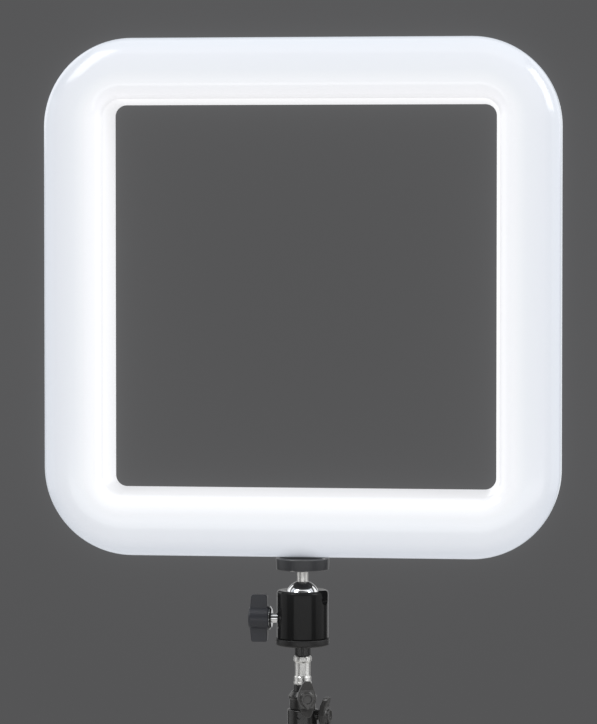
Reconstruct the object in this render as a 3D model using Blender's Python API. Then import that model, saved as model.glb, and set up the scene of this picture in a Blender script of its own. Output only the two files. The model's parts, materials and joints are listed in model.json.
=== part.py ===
"""Open square LED light on a ball head and a compact telescopic stand.

Units are metres and +Z is up. The light shines towards -Y. The origin is on the floor, under the
middle of the part's outline, so the stand's column stands a little in front of it.
"""

import math

import bmesh
import bpy
from mathutils import Matrix, Vector

MM = 0.001
GAP = 0.3 * MM
SMOOTH_ANGLE = math.radians(35)

# Light frame: an open square ring, seen from the front
FRAME_SIZE = 350 * MM
RING_WIDTH = 45 * MM
FRAME_DEPTH = 42 * MM
OUTER_CORNER = 60 * MM
INNER_CORNER = 7.5 * MM
CORNER_STEPS = 8
HOLE_HALF = FRAME_SIZE / 2 - RING_WIDTH
BACK_Y = FRAME_DEPTH / 2
CORNERS = [(1, 1), (-1, 1), (-1, -1), (1, -1)]

# Diffuser section: distances out from the hole, depths from the front
WALL = 2.2 * MM
PARTING_DEPTH = 26 * MM
FRONT_CURVE_START = 20 * MM
FRONT_CURVE_DEPTH = 15 * MM
FRONT_INNER_EDGE = 12 * MM
INNER_DRAFT = 5 * MM
INNER_WALL_END = 39.5 * MM

# Rear housing section
REAR_INSET = 1 * MM
REAR_OUTER_EDGE = 8 * MM
REAR_INNER_EDGE = 1.5 * MM
REAR_FILLET = 5 * MM
LIP_DEPTH = 2.2 * MM
LIP_WALL = 1.5 * MM
LIP_PLAY = 1 * MM

# Reflector tray between the two shells
TRAY_INNER_PLAY = 4.8 * MM
TRAY_OUTER_PLAY = 4.4 * MM
TRAY_FRONT = PARTING_DEPTH + 0.4 * MM
TRAY_THICK = 1.2 * MM

# Openings and screws in the back, centred on its flat band
REAR_FLAT = 20 * MM
CUTTER_REACH = 12 * MM
VENT_WIDTH = 2.4 * MM
VENT_LENGTH = 18 * MM
VENT_PITCH = 6.5 * MM
VENT_COUNT = 7
SCREW_PLACE = HOLE_HALF + 15 * MM
SCREW_HEAD = 3 * MM
SCREW_HEAD_THICK = 1.1 * MM
SCREW_CHAMFER = (0.6 * MM, 0.4 * MM)
SCREW_SHANK = 1.5 * MM
SCREW_LENGTH = 14 * MM
SCREW_SEAT = 1.4 * MM

# LED strips and the driver board
LED_COUNT = 12
LED_SIZE = 5 * MM
LED_HEIGHT = 1 * MM
BOARD_THICK = 1.6 * MM
BOARD_INNER = 11 * MM
BOARD_OUTER = 31 * MM
BOARD_BACK = PARTING_DEPTH + 0.1 * MM
LONG_BOARD = 138 * MM
SHORT_BOARD = 125 * MM
DRIVER_HALF = (98 * MM, 11 * MM)
DRIVER_FRONT = PARTING_DEPTH + 2.4 * MM
DRIVER_PARTS = [(-22 * MM, 12 * MM, 5 * MM), (0, 8 * MM, 3 * MM), (20 * MM, 10 * MM, 6 * MM)]

# Controls on the lower bar's back
PANEL_Z = -(HOLE_HALF + REAR_FLAT)
BRIGHTNESS_X = 52 * MM
COLOUR_X = 82 * MM
SWITCH_X = -52 * MM
INLET_X = -82 * MM
KNOB_RADIUS = 8 * MM
KNOB_HEIGHT = 9 * MM
KNOB_FLUTES = 12
FLUTE_DEPTH = 0.5 * MM
MARK_HALF = 0.6 * MM
MARK_START = 2 * MM
MARK_DEPTH = 0.8 * MM
SHAFT_RADIUS = 3 * MM
SHAFT_END = -8.5 * MM
POT_RADIUS = 7.5 * MM
POT_FRONT = -10.5 * MM
POT_FLOOR = -9 * MM
SWITCH_HALF = (6.5 * MM, 10 * MM)
BEZEL_RIM = 2 * MM
BEZEL_FACE = 1.6 * MM
BEZEL_DEPTH = 8 * MM
POCKET_HALF = (5.5 * MM, 8.7 * MM)
POCKET_DEPTH = 7 * MM
ROCKER_HALF = (5 * MM, 8 * MM)
ROCKER_RISE = 3.2 * MM
ROCKER_TILT = math.radians(8)
INLET_RADIUS = 4.5 * MM
INLET_FLANGE = 6.2 * MM
INLET_FACE = 1.4 * MM
INLET_BORE = 2.9 * MM
INLET_PIN = 0.9 * MM
INLET_FLOOR = -9 * MM
INLET_END = -11 * MM

# Heights above the floor. The light's lower edge carries the ball head below it
FRAME_BOTTOM = 520 * MM
FRAME_CENTRE = FRAME_BOTTOM + FRAME_SIZE / 2
BALL_CENTRE = FRAME_BOTTOM - 28.8 * MM
HEAD_BOTTOM = FRAME_BOTTOM - 60.9 * MM
SPIGOT_TOP = FRAME_BOTTOM - 68.3 * MM
RISER_TOP = FRAME_BOTTOM - 87.7 * MM

# Threaded socket in the lower bar, behind the frame's middle plane
SOCKET_Y = 5 * MM
SOCKET_RADIUS = 7 * MM
SOCKET_TIP = 6 * MM
SOCKET_DROP = 0.4 * MM
SOCKET_HEIGHT = 12.4 * MM
SOCKET_BORE_DEPTH = 10.4 * MM
SOCKET_FLANGE = 10 * MM
FLANGE_LOW = 7 * MM
FLANGE_HIGH = 9 * MM

# Platform, ball and stem. Ball head heights are from the ball's centre
PLATFORM_RADIUS = 18.2 * MM
PLATFORM_HEIGHT = 8.9 * MM
PLATFORM_EDGE = 0.7 * MM
PAD_RECESS = 15.6 * MM
PAD_RECESS_DEPTH = 1.8 * MM
BALL_RADIUS = 11.8 * MM
STEM_RADIUS = 3.7 * MM
STUD_RADIUS = 3.1 * MM
STUD_REACH = 9 * MM
STUD_CHAMFER = 0.6 * MM
CONTACT = FRAME_BOTTOM - SOCKET_DROP - GAP - BALL_CENTRE
DISC_LOW = CONTACT - PLATFORM_HEIGHT

# Cup, the seat and pad inside it, and the turning base
CUP_RADIUS = 17.5 * MM
CUP_RIM = 5.3 * MM
CUP_EDGE = 2 * MM
CUP_FLOOR = -27 * MM
CUP_FLOOR_TOP = -23.4 * MM
CUP_CHAMFER = (0.4 * MM, 0.8 * MM)
PAN_BORE = 7.3 * MM
SEAT_RADIUS = BALL_RADIUS + 0.35 * MM
SEAT_LIP = 4.9 * MM
SEAT_PLAY = 0.05 * MM
SEAT_TOP = -4 * MM
SEAT_BOTTOM = -10.3 * MM
NOTCH_AZIMUTH = math.radians(-22)
NOTCH_HALF = STEM_RADIUS + 0.6 * MM
NOTCH_START = 4 * MM
NOTCH_END = 30 * MM
NOTCH_TOP = 12 * MM
PRESSURE_PAD = [(7.4 * MM, -20.4 * MM), (7.4 * MM, -14 * MM), (5 * MM, -12.6 * MM)]
BASE_RADIUS = 18.2 * MM
BASE_FOOT = [(1.5 * MM, 0), (0.4 * MM, 0.6 * MM), (0, 1.7 * MM)]
BASE_HUB = 7 * MM
BASE_GROOVE = 5.4 * MM
BASE_HUB_TOP = 1.2 * MM
RING_RADIUS = 9.4 * MM
RING_THICK = 1 * MM

# Lock knob on the cup's side, distances out from the ball's centre
LOCK_AZIMUTH = math.pi
LOCK_HEIGHT = -14 * MM
LOCK_SCREW_RADIUS = 3.2 * MM
LOCK_SCREW_START = 7.8 * MM
LOCK_SCREW_TIP = (1 * MM, 1.2 * MM)
LOCK_SCREW_GRIP = 7.5 * MM
LOCK_FACE = 36.7 * MM
LOCK_BACK = 22.6 * MM
LOCK_HUB = 7.8 * MM
LOCK_EDGE = 1.2 * MM
LOCK_SPAN = 16 * MM
LOCK_WING = 3.6 * MM
LOCK_TIP = 1 * MM
LOCK_FRONT_DROPS = (0.4 * MM, 1.9 * MM, 2.7 * MM)
LOCK_BACK_RISES = (2.1 * MM, 1.4 * MM, 1 * MM)
WASHER_RADIUS = 8.3 * MM
WASHER_THICK = 1.4 * MM
WASHER_BEVEL = (2 * MM, 0.4 * MM)

# Adapter and spigot on top of the column. The spigot's points are radii and drops from its top
ADAPTER_RADIUS = 5.3 * MM
ADAPTER_PIN = 2.8 * MM
ADAPTER_REACH = 8 * MM
SPIGOT_FLANGE = [(5.75 * MM, 0), (5.75 * MM, 0.6 * MM), (6.35 * MM, 0.6 * MM), (6.35 * MM, 3.6 * MM)]
SPIGOT_WAIST = [(5.4 * MM, 4.6 * MM), (5.4 * MM, 13.6 * MM)]
SPIGOT_COLLAR = [(5.95 * MM, 14.2 * MM), (5.95 * MM, 17.6 * MM), (6.3 * MM, 17.6 * MM), (6.3 * MM, 19 * MM)]
SPIGOT_BORE_DEPTH = 9 * MM
SPIGOT_LENGTH = 38 * MM

# Stand column: three tubes that slide in each other, here pushed right in
RISER_RADIUS = 6.2 * MM
RISER_BORE = 5 * MM
RISER_LENGTH = 285 * MM
UPPER_CLAMP_TOP = FRAME_BOTTOM - 92 * MM
UPPER_CLAMP_BOTTOM = FRAME_BOTTOM - 104 * MM
UPPER_LIP = 9.5 * MM
UPPER_LIP_DROPS = (3.4 * MM, 4.6 * MM, 5.4 * MM)
UPPER_LIP_CHAMFER = 2.2 * MM
UPPER_SLEEVE = 8.8 * MM
MIDDLE_RADIUS = 7.6 * MM
MIDDLE_BORE = 6.8 * MM
MIDDLE_TOP = UPPER_CLAMP_TOP - 7.4 * MM
MIDDLE_LENGTH = 292 * MM
LOWER_CLAMP_TOP = UPPER_CLAMP_BOTTOM - GAP
LOWER_CLAMP_BOTTOM = LOWER_CLAMP_TOP - 28 * MM
LOWER_NECK = 10.4 * MM
LOWER_SKIRT = 11.8 * MM
LOWER_SHOULDER = (11 * MM, 13 * MM)
LOWER_CHAMFER = 0.8 * MM
OUTER_RADIUS = 9 * MM
OUTER_BORE = 8.1 * MM
OUTER_TOP = LOWER_CLAMP_TOP - 12.5 * MM
PLUG_LIP = 3 * MM
PLUG_REACH = 9 * MM
CAP_RADIUS = 11 * MM
CAP_CHAMFER = 1 * MM

# Wing knobs that tighten the two clamps. A face is a knob's distance from the column's axis
UPPER_KNOB_HEIGHT = FRAME_BOTTOM - 95.5 * MM
UPPER_KNOB_AZIMUTH = math.radians(-73)
UPPER_FACE = 12 * MM
LOWER_KNOB_HEIGHT = FRAME_BOTTOM - 107.9 * MM
LOWER_KNOB_AZIMUTH = math.radians(-14)
LOWER_FACE = 13 * MM
BOSS_RADIUS = 3.4 * MM
BOSS_START = 8 * MM
BOSS_PLAY = 1.2 * MM
WING_SPAN = 12.3 * MM
WING_HUB = 5.6 * MM
WING_WAIST = 6.4 * MM
WING_TIP = 3.2 * MM
WING_BACK = 1 * MM
WING_THICK = 3.8 * MM
WING_HUB_TOP = [(5.6 * MM, 6 * MM), (4.4 * MM, 7 * MM), (3.6 * MM, 6.2 * MM), (0, 6.2 * MM)]
CLAMP_SCREW = 2.2 * MM
CLAMP_SCREW_GRIP = 3.5 * MM
CLAMP_HOLE_START = 2 * MM
CLAMP_HOLE_END = 30 * MM

# Tripod base: three legs hinged to a hub at the column's foot
LEG_AZIMUTHS = [math.radians(angle) for angle in (90, 210, 330)]
LEG_SLOPE = math.radians(22)
LEG_PIVOT_RADIUS = 20 * MM
LEG_LENGTH = 270 * MM
LEG_RADIUS = 6 * MM
LEG_BORE = 4.8 * MM
LEG_START = 16 * MM
LEG_END = LEG_LENGTH - 8.5 * MM
ROOT_START = 9 * MM
ROOT_TAPER = 2 * MM
ROOT_RADIUS = LEG_RADIUS + 0.6 * MM
ROOT_END = 34 * MM
TONGUE_WIDTH = 7 * MM
TONGUE_RADIUS = 6.5 * MM
TONGUE_ROOT = 12 * MM
TONGUE_PLAY = 0.4 * MM
LUG_WIDTH = 16.8 * MM
LUG_RADIUS = 8 * MM
LUG_START = 12 * MM
PIN_RADIUS = 2.5 * MM
PIN_HALF = LUG_WIDTH / 2 + 0.5 * MM
FOOT_RADIUS = 9 * MM
FOOT_CUFF = LEG_RADIUS + 1.6 * MM
FOOT_SLEEVE = 18 * MM
FOOT_FLARE = 8 * MM
FOOT_END_HEIGHT = 7.5 * MM
PIVOT_HEIGHT = FOOT_END_HEIGHT + LEG_LENGTH * math.sin(LEG_SLOPE)
HUB_RADIUS = 15 * MM
HUB_TOP = PIVOT_HEIGHT + 14 * MM
HUB_BOTTOM = PIVOT_HEIGHT - 9 * MM
HUB_SHOULDER = (3 * MM, 4 * MM)
HUB_CHAMFER = 1 * MM
HUB_SLOT_REACH = 60 * MM
FOOT_REACH = LEG_PIVOT_RADIUS + LEG_LENGTH * math.cos(LEG_SLOPE)

# One leg points back and two forward, so the outline's middle is a quarter of the reach behind the column
COLUMN_Y = -FOOT_REACH / 4


# Scene helpers


def clear_scene():
    """Removes every object of the startup scene."""
    for obj in list(bpy.data.objects):
        bpy.data.objects.remove(obj)


def finish(name, colour, roughness, metallic=0.0):
    """A Principled material."""
    material = bpy.data.materials.new(name)
    material.use_nodes = True
    shader = material.node_tree.nodes["Principled BSDF"]
    shader.inputs["Base Color"].default_value = (*colour, 1.0)
    shader.inputs["Roughness"].default_value = roughness
    shader.inputs["Metallic"].default_value = metallic
    return material


def empty(name, parent=None, matrix=None):
    """An empty that places a group of pieces."""
    obj = bpy.data.objects.new(name, None)
    bpy.context.scene.collection.objects.link(obj)
    obj.parent = parent
    obj.matrix_local = matrix or Matrix.Identity(4)
    return obj


def mesh_object(name, bm, parent):
    """A mesh object made from bm, shaded smooth apart from its sharp edges."""
    bmesh.ops.recalc_face_normals(bm, faces=bm.faces)
    mesh = bpy.data.meshes.new(name)
    bm.to_mesh(mesh)
    bm.free()
    mesh.shade_smooth()
    mesh.set_sharp_from_angle(angle=SMOOTH_ANGLE)
    obj = bpy.data.objects.new(name, mesh)
    bpy.context.scene.collection.objects.link(obj)
    obj.parent = parent
    return obj


def piece(name, bm, material, parent):
    """One sub-part of the light, with its own material."""
    obj = mesh_object(name, bm, parent)
    obj.data.materials.append(material)
    return obj


def combine(target, bm, operation):
    """Adds or takes away the shape bm, given in target's own frame, with a Boolean."""
    helper = mesh_object(f"{target.name}_{operation.lower()}_{len(target.modifiers)}", bm, target)
    helper.hide_render = True
    helper.display_type = "WIRE"
    modifier = target.modifiers.new(operation.title(), "BOOLEAN")
    modifier.operation = operation
    modifier.object = helper


def cut(target, bm):
    combine(target, bm, "DIFFERENCE")


def join(target, bm):
    combine(target, bm, "UNION")


def outward(azimuth, origin=(0, 0, 0)):
    """A frame whose Z axis points out level at the azimuth and whose Y axis points up."""
    out = Vector((math.cos(azimuth), math.sin(azimuth), 0))
    up = Vector((0, 0, 1))
    frame = Matrix((up.cross(out), up, out)).transposed().to_4x4()
    return Matrix.Translation(origin) @ frame


# Shapes


def turned(profile, sides=24):
    """Turns (radius, height) points about Z. A profile that leaves the axis is closed into a ring."""
    bm = bmesh.new()
    turns = [math.tau * i / sides for i in range(sides)]
    rings = []
    for radius, height in profile:
        if radius == 0:
            rings.append([bm.verts.new((0, 0, height))])
        else:
            points = [(radius * math.cos(a), radius * math.sin(a), height) for a in turns]
            rings.append([bm.verts.new(point) for point in points])
    on_axis = profile[0][0] == 0 and profile[-1][0] == 0
    following = rings[1:] if on_axis else rings[1:] + rings[:1]
    for lower, upper in zip(rings, following):
        for i in range(sides):
            j = (i + 1) % sides
            corners = [lower[i % len(lower)], lower[j % len(lower)]]
            corners += [upper[j % len(upper)], upper[i % len(upper)]]
            bm.faces.new(list(dict.fromkeys(corners)))
    return bm


def drill(radius, low, high, sides=16):
    """A round bar along Z, used as a cutter, a boss or a pin."""
    return turned([(0, low), (radius, low), (radius, high), (0, high)], sides)


def tube(outer, bore, low, high, sides=20):
    """A plain tube along Z."""
    return turned([(bore, low), (outer, low), (outer, high), (bore, high)], sides)


def extruded(outline, low, high):
    """A prism between two heights over an outline in the XY plane."""
    bm = bmesh.new()
    loops = [[bm.verts.new((x, y, z)) for x, y in outline] for z in (low, high)]
    bm.faces.new(reversed(loops[0]))
    bm.faces.new(loops[1])
    for i in range(len(outline)):
        j = (i + 1) % len(outline)
        bm.faces.new((loops[0][i], loops[0][j], loops[1][j], loops[1][i]))
    return bm


def block(low, high):
    """A box between two corners."""
    bm = bmesh.new()
    low, high = Vector(low), Vector(high)
    bmesh.ops.create_cube(bm, matrix=Matrix.LocRotScale((low + high) / 2, None, high - low))
    return bm


def moved(bm, matrix):
    """bm, moved by a matrix."""
    bmesh.ops.transform(bm, matrix=matrix, verts=bm.verts)
    return bm


def together(shapes):
    """Several shapes in one bmesh. They stay separate bodies."""
    whole = bmesh.new()
    for shape in shapes:
        mesh = bpy.data.meshes.new("shape")
        shape.to_mesh(mesh)
        shape.free()
        whole.from_mesh(mesh)
        bpy.data.meshes.remove(mesh)
    return whole


def arc(centre, radii, start, end, steps):
    """Points on an ellipse's arc, angles in degrees, both ends included."""
    points = []
    for i in range(steps + 1):
        angle = math.radians(start + (end - start) * i / steps)
        points.append((centre[0] + radii[0] * math.cos(angle), centre[1] + radii[1] * math.sin(angle)))
    return points


def corner_radius(across):
    """The ring's corner radius grows from the hole to the outer edge."""
    return INNER_CORNER + (OUTER_CORNER - INNER_CORNER) * across / RING_WIDTH


def square_ring(profile):
    """Sweeps (distance out from the hole, depth from the front) points round the square."""
    bm = bmesh.new()
    loops = []
    for across, depth in profile:
        radius = corner_radius(across)
        centre = HOLE_HALF + across - radius
        loop = []
        for quarter in range(4):
            for step in range(CORNER_STEPS + 1):
                angle = math.pi / 2 * (quarter + step / CORNER_STEPS)
                middle = math.pi / 2 * (quarter + 0.5)
                x = centre * math.copysign(1, math.cos(middle)) + radius * math.cos(angle)
                z = centre * math.copysign(1, math.sin(middle)) + radius * math.sin(angle)
                loop.append(bm.verts.new((x, depth - FRAME_DEPTH / 2, z)))
        loops.append(loop)
    count = len(loops[0])
    for first, second in zip(loops, loops[1:] + loops[:1]):
        for i in range(count):
            j = (i + 1) % count
            bm.faces.new((first[i], first[j], second[j], second[i]))
    return bm


# Light frame


def inner_wall(depth):
    """The hole narrows from front to back, so its glowing wall shows all round."""
    return INNER_DRAFT * (1 - depth / FRAME_DEPTH)


def diffuser_skin(inset, edge_steps, curve_steps):
    """The diffuser's section, from the hole's wall round the front to the outer wall, moved in by inset."""
    edge = FRONT_INNER_EDGE - inset
    curve = (RING_WIDTH - FRONT_CURVE_START - inset, FRONT_CURVE_DEPTH - inset)
    skin = [(inner_wall(INNER_WALL_END) + inset, INNER_WALL_END)]
    centre = (inner_wall(FRONT_INNER_EDGE) + FRONT_INNER_EDGE, FRONT_INNER_EDGE)
    skin += arc(centre, (edge, edge), 180, 270, edge_steps)
    skin += arc((FRONT_CURVE_START, FRONT_CURVE_DEPTH), curve, -90, 0, curve_steps)
    skin.append((RING_WIDTH - inset, PARTING_DEPTH))
    return skin


def rear_section():
    """The rear housing's section: a back plate and an outer wall, with lips that reach into the diffuser."""
    start = PARTING_DEPTH + GAP
    out = RING_WIDTH - REAR_INSET
    lip_in = WALL + LIP_PLAY
    lip_out = RING_WIDTH - WALL - GAP
    outer_wall = lip_out - LIP_WALL
    floor = FRAME_DEPTH - WALL
    big, small = REAR_OUTER_EDGE, REAR_INNER_EDGE
    edge = REAR_INSET / 2 + small
    section = [(out, start)]
    section += arc((out - big, FRAME_DEPTH - big), (big, big), 0, 90, 3)
    section += arc((edge, FRAME_DEPTH - small), (small, small), 90, 180, 2)
    section += [(edge - small, floor), (lip_in, floor), (lip_in, floor - LIP_DEPTH)]
    section += [(lip_in + LIP_WALL, floor - LIP_DEPTH), (lip_in + LIP_WALL, floor)]
    section += [(outer_wall - REAR_FILLET, floor), (outer_wall, floor - REAR_FILLET)]
    section += [(outer_wall, start - LIP_DEPTH), (lip_out, start - LIP_DEPTH), (lip_out, start)]
    return section


def bottom_hole(radius):
    """A cutter through the lower bar for the tripod socket."""
    below, above = 5 * MM, 15 * MM
    hole = drill(radius, -FRAME_SIZE / 2 - below, -FRAME_SIZE / 2 + above, 20)
    return moved(hole, Matrix.Translation((0, SOCKET_Y, 0)))


def through_back(bm, x, z):
    """A shape made along +Z, placed so that it runs out of the back at (x, z)."""
    return moved(bm, outward(math.pi / 2, (x, BACK_Y, z)))


def vent_slots():
    """Slots through the back of the top bar and the two side bars."""
    middle = HOLE_HALF + REAR_FLAT
    slots = []
    for turn in (0, math.pi / 2, -math.pi / 2):
        for i in range(VENT_COUNT):
            x = (i - (VENT_COUNT - 1) / 2) * VENT_PITCH
            low = (x - VENT_WIDTH / 2, BACK_Y - REAR_FILLET, middle - VENT_LENGTH / 2)
            high = (x + VENT_WIDTH / 2, BACK_Y + REAR_FILLET, middle + VENT_LENGTH / 2)
            slots.append(moved(block(low, high), Matrix.Rotation(turn, 4, "Y")))
    return together(slots)


def panel_holes():
    """Cutters for the control shafts, the switch, the power inlet and the housing screws."""
    reach = CUTTER_REACH
    holes = [through_back(drill(INLET_RADIUS + GAP, -reach, reach), INLET_X, PANEL_Z)]
    for x in (BRIGHTNESS_X, COLOUR_X):
        holes.append(through_back(drill(SHAFT_RADIUS + 2 * GAP, -reach, reach), x, PANEL_Z))
    width, height = SWITCH_HALF[0] + GAP, SWITCH_HALF[1] + GAP
    window = block((-width, -height, -reach), (width, height, reach))
    holes.append(through_back(window, SWITCH_X, PANEL_Z))
    shank, head = SCREW_SHANK + GAP, SCREW_HEAD + GAP
    step = [(0, -reach), (shank, -reach), (shank, -SCREW_SEAT), (head, -SCREW_SEAT)]
    step += [(head, reach), (0, reach)]
    for sx, sz in CORNERS:
        holes.append(through_back(turned(step, 12), sx * SCREW_PLACE, sz * SCREW_PLACE))
    return together(holes)


def build_shells(parent, finishes):
    """The glowing front, the back housing and the white tray between them."""
    skin = diffuser_skin(0, 5, 7) + diffuser_skin(WALL, 3, 3)[::-1]
    diffuser = piece("front_diffuser", square_ring(skin), finishes["diffuser"], parent)
    cut(diffuser, bottom_hole(SOCKET_RADIUS + GAP))

    housing = piece("rear_housing", square_ring(rear_section()), finishes["housing"], parent)
    cut(housing, bottom_hole(SOCKET_RADIUS + GAP))
    cut(housing, vent_slots())
    cut(housing, panel_holes())

    low, high = TRAY_INNER_PLAY, RING_WIDTH - TRAY_OUTER_PLAY
    back = TRAY_FRONT + TRAY_THICK
    section = [(low, TRAY_FRONT), (high, TRAY_FRONT), (high, back), (low, back)]
    tray = piece("reflector_tray", square_ring(section), finishes["tray"], parent)
    cut(tray, bottom_hole(SOCKET_FLANGE + MM))


def build_socket(parent, finishes):
    """The threaded socket that the ball head's stud screws into."""
    low = -FRAME_SIZE / 2 - SOCKET_DROP
    bore, bore_end, top = STUD_RADIUS + GAP, low + SOCKET_BORE_DEPTH, low + SOCKET_HEIGHT
    profile = [(0, bore_end), (bore, bore_end), (bore, low), (SOCKET_RADIUS, low)]
    profile += [(SOCKET_RADIUS, low + FLANGE_LOW), (SOCKET_FLANGE, low + FLANGE_LOW)]
    profile += [(SOCKET_FLANGE, low + FLANGE_HIGH), (SOCKET_TIP, low + FLANGE_HIGH)]
    profile += [(SOCKET_TIP, top), (0, top)]
    socket = moved(turned(profile, 16), Matrix.Translation((0, SOCKET_Y, 0)))
    piece("tripod_socket", socket, finishes["steel"], parent)


def build_screws(parent, finishes):
    """The four screws that hold the housing to the diffuser."""
    under = -SCREW_HEAD_THICK
    profile = [(0, -SCREW_LENGTH), (SCREW_SHANK, -SCREW_LENGTH), (SCREW_SHANK, under), (SCREW_HEAD, under)]
    profile += [(SCREW_HEAD, -SCREW_CHAMFER[1]), (SCREW_HEAD - SCREW_CHAMFER[0], 0), (0, 0)]
    for number, (sx, sz) in enumerate(CORNERS, 1):
        screw = through_back(turned(profile, 12), sx * SCREW_PLACE, sz * SCREW_PLACE)
        piece(f"housing_screw_{number}", screw, finishes["steel"], parent)


def build_led_boards(parent, finishes):
    """Four LED strips on the tray."""
    sides = {"top": (0, LONG_BOARD), "left": (-1, SHORT_BOARD)}
    sides |= {"bottom": (2, LONG_BOARD), "right": (1, SHORT_BOARD)}
    back = BOARD_BACK - FRAME_DEPTH / 2
    front = back - BOARD_THICK
    middle = HOLE_HALF + (BOARD_INNER + BOARD_OUTER) / 2
    for side, (quarter, half) in sides.items():
        turn = Matrix.Rotation(quarter * math.pi / 2, 4, "Y")
        strip = block((-half, front, HOLE_HALF + BOARD_INNER), (half, back, HOLE_HALF + BOARD_OUTER))
        board = piece(f"led_board_{side}", moved(strip, turn), finishes["board"], parent)
        chips = []
        for i in range(LED_COUNT):
            x = half * (2 * (i + 0.5) / LED_COUNT - 1)
            low = (x - LED_SIZE / 2, front - LED_HEIGHT, middle - LED_SIZE / 2)
            high = (x + LED_SIZE / 2, front + BOARD_THICK / 2, middle + LED_SIZE / 2)
            chips.append(moved(block(low, high), turn))
        join(board, together(chips))


def build_driver(parent, finishes):
    """The driver board behind the tray's lower bar, with its larger components."""
    width, height = DRIVER_HALF
    front = DRIVER_FRONT - FRAME_DEPTH / 2
    back = front + BOARD_THICK
    plate = block((-width, front, PANEL_Z - height), (width, back, PANEL_Z + height))
    board = piece("driver_board", plate, finishes["pcb"], parent)
    parts = []
    for x, size, rise in DRIVER_PARTS:
        low = (x - size / 2, back - BOARD_THICK / 2, PANEL_Z - size / 2)
        parts.append(block(low, (x + size / 2, back + rise, PANEL_Z + size / 2)))
    join(board, together(parts))


# Controls


def knob_outline(radius):
    """A fluted circle."""
    outline = []
    for i in range(KNOB_FLUTES * 3):
        angle = math.tau * i / (KNOB_FLUTES * 3)
        reach = radius - (FLUTE_DEPTH if i % 3 == 0 else 0)
        outline.append((reach * math.cos(angle), reach * math.sin(angle)))
    return outline


def build_dial(name, x, parent, finishes):
    """A control knob on its shaft, and the potentiometer body that the shaft turns in."""
    axis = empty(f"{name}_axis", parent, outward(math.pi / 2, (x, BACK_Y, PANEL_Z)))
    body = extruded(knob_outline(KNOB_RADIUS), GAP, KNOB_HEIGHT)
    knob = piece(f"{name}_knob", body, finishes["knob"], axis)
    join(knob, drill(SHAFT_RADIUS, SHAFT_END, KNOB_HEIGHT / 2))
    mark_low = (-MARK_HALF, MARK_START, KNOB_HEIGHT - MARK_DEPTH)
    cut(knob, block(mark_low, (MARK_HALF, KNOB_RADIUS + MM, KNOB_HEIGHT + MM)))
    bore, back = SHAFT_RADIUS + GAP, -WALL - GAP
    profile = [(0, POT_FRONT), (POT_RADIUS, POT_FRONT), (POT_RADIUS, back), (bore, back)]
    profile += [(bore, POT_FLOOR), (0, POT_FLOOR)]
    piece(f"{name}_potentiometer", turned(profile, 16), finishes["steel"], axis)


def build_switch(parent, finishes):
    """The power rocker in its bezel. The rocker turns about X, level with the housing's back."""
    axis = empty("switch_axis", parent, outward(math.pi / 2, (SWITCH_X, BACK_Y, PANEL_Z)))
    width, height = SWITCH_HALF
    body = block((-width, -height, -BEZEL_DEPTH), (width, height, MM))
    bezel = piece("switch_bezel", body, finishes["knob"], axis)
    wide, tall = width + BEZEL_RIM, height + BEZEL_RIM
    join(bezel, block((-wide, -tall, GAP), (wide, tall, BEZEL_FACE)))
    across, up = POCKET_HALF
    cut(bezel, block((-across, -up, -POCKET_DEPTH), (across, up, BEZEL_DEPTH)))

    reach = ROCKER_HALF[1]
    outline = [(ROCKER_RISE, -reach), (0.4 * ROCKER_RISE, 0), (ROCKER_RISE, reach)]
    outline += arc((0, 0), (0.8 * reach, reach), 90, 270, 8)
    rocker = extruded(outline, -ROCKER_HALF[0], ROCKER_HALF[0])
    lay = Matrix(((0, 0, 1), (0, 1, 0), (-1, 0, 0))).transposed().to_4x4()
    tilted = Matrix.Rotation(ROCKER_TILT, 4, "X") @ lay.inverted()
    piece("power_rocker", moved(rocker, tilted), finishes["knob"], axis)


def build_inlet(parent, finishes):
    """The round power inlet, with its centre pin."""
    axis = empty("inlet_axis", parent, outward(math.pi / 2, (INLET_X, BACK_Y, PANEL_Z)))
    profile = [(0, INLET_END), (INLET_RADIUS, INLET_END), (INLET_RADIUS, GAP), (INLET_FLANGE, GAP)]
    profile += [(INLET_FLANGE, INLET_FACE), (INLET_BORE, INLET_FACE), (INLET_BORE, INLET_FLOOR)]
    profile += [(INLET_PIN, INLET_FLOOR), (INLET_PIN, 0), (0, 0)]
    piece("power_inlet", turned(profile, 16), finishes["knob"], axis)


# Ball head, measured from the ball's centre


def build_platform(light, finishes):
    """The disc under the light, with the rubber pad let into its top."""
    high, low, edge = CONTACT - GAP, DISC_LOW, PLATFORM_EDGE
    floor = CONTACT - PAD_RECESS_DEPTH
    bore = STUD_RADIUS + GAP
    pad = tube(PAD_RECESS - GAP, bore, floor + GAP, CONTACT, 28)
    piece("platform_pad", pad, finishes["rubber"], light)
    profile = [(bore, low), (PLATFORM_RADIUS - 2 * edge, low), (PLATFORM_RADIUS - edge / 2, low + edge)]
    profile += [(PLATFORM_RADIUS, high - edge), (PLATFORM_RADIUS - edge, high), (PAD_RECESS, high)]
    profile += [(PAD_RECESS, floor), (bore, floor)]
    piece("platform_disc", turned(profile, 28), finishes["black_metal"], light)


def build_ball(ball, finishes):
    """The ball, its stem and the threaded stud on top, turned from one bar."""
    shoulder = DISC_LOW - GAP
    foot_angle = math.degrees(math.acos(STEM_RADIUS / BALL_RADIUS))
    profile = arc((0, 0), (BALL_RADIUS, BALL_RADIUS), -90, foot_angle, 9)
    profile[0] = (0, -BALL_RADIUS)
    profile += [(STEM_RADIUS, shoulder), (STUD_RADIUS, shoulder)]
    top = CONTACT + STUD_REACH
    profile += [(STUD_RADIUS, top - STUD_CHAMFER), (STUD_RADIUS - STUD_CHAMFER, top), (0, top)]
    piece("ball_and_stem", turned(profile, 20), finishes["chrome"], ball)


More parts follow.
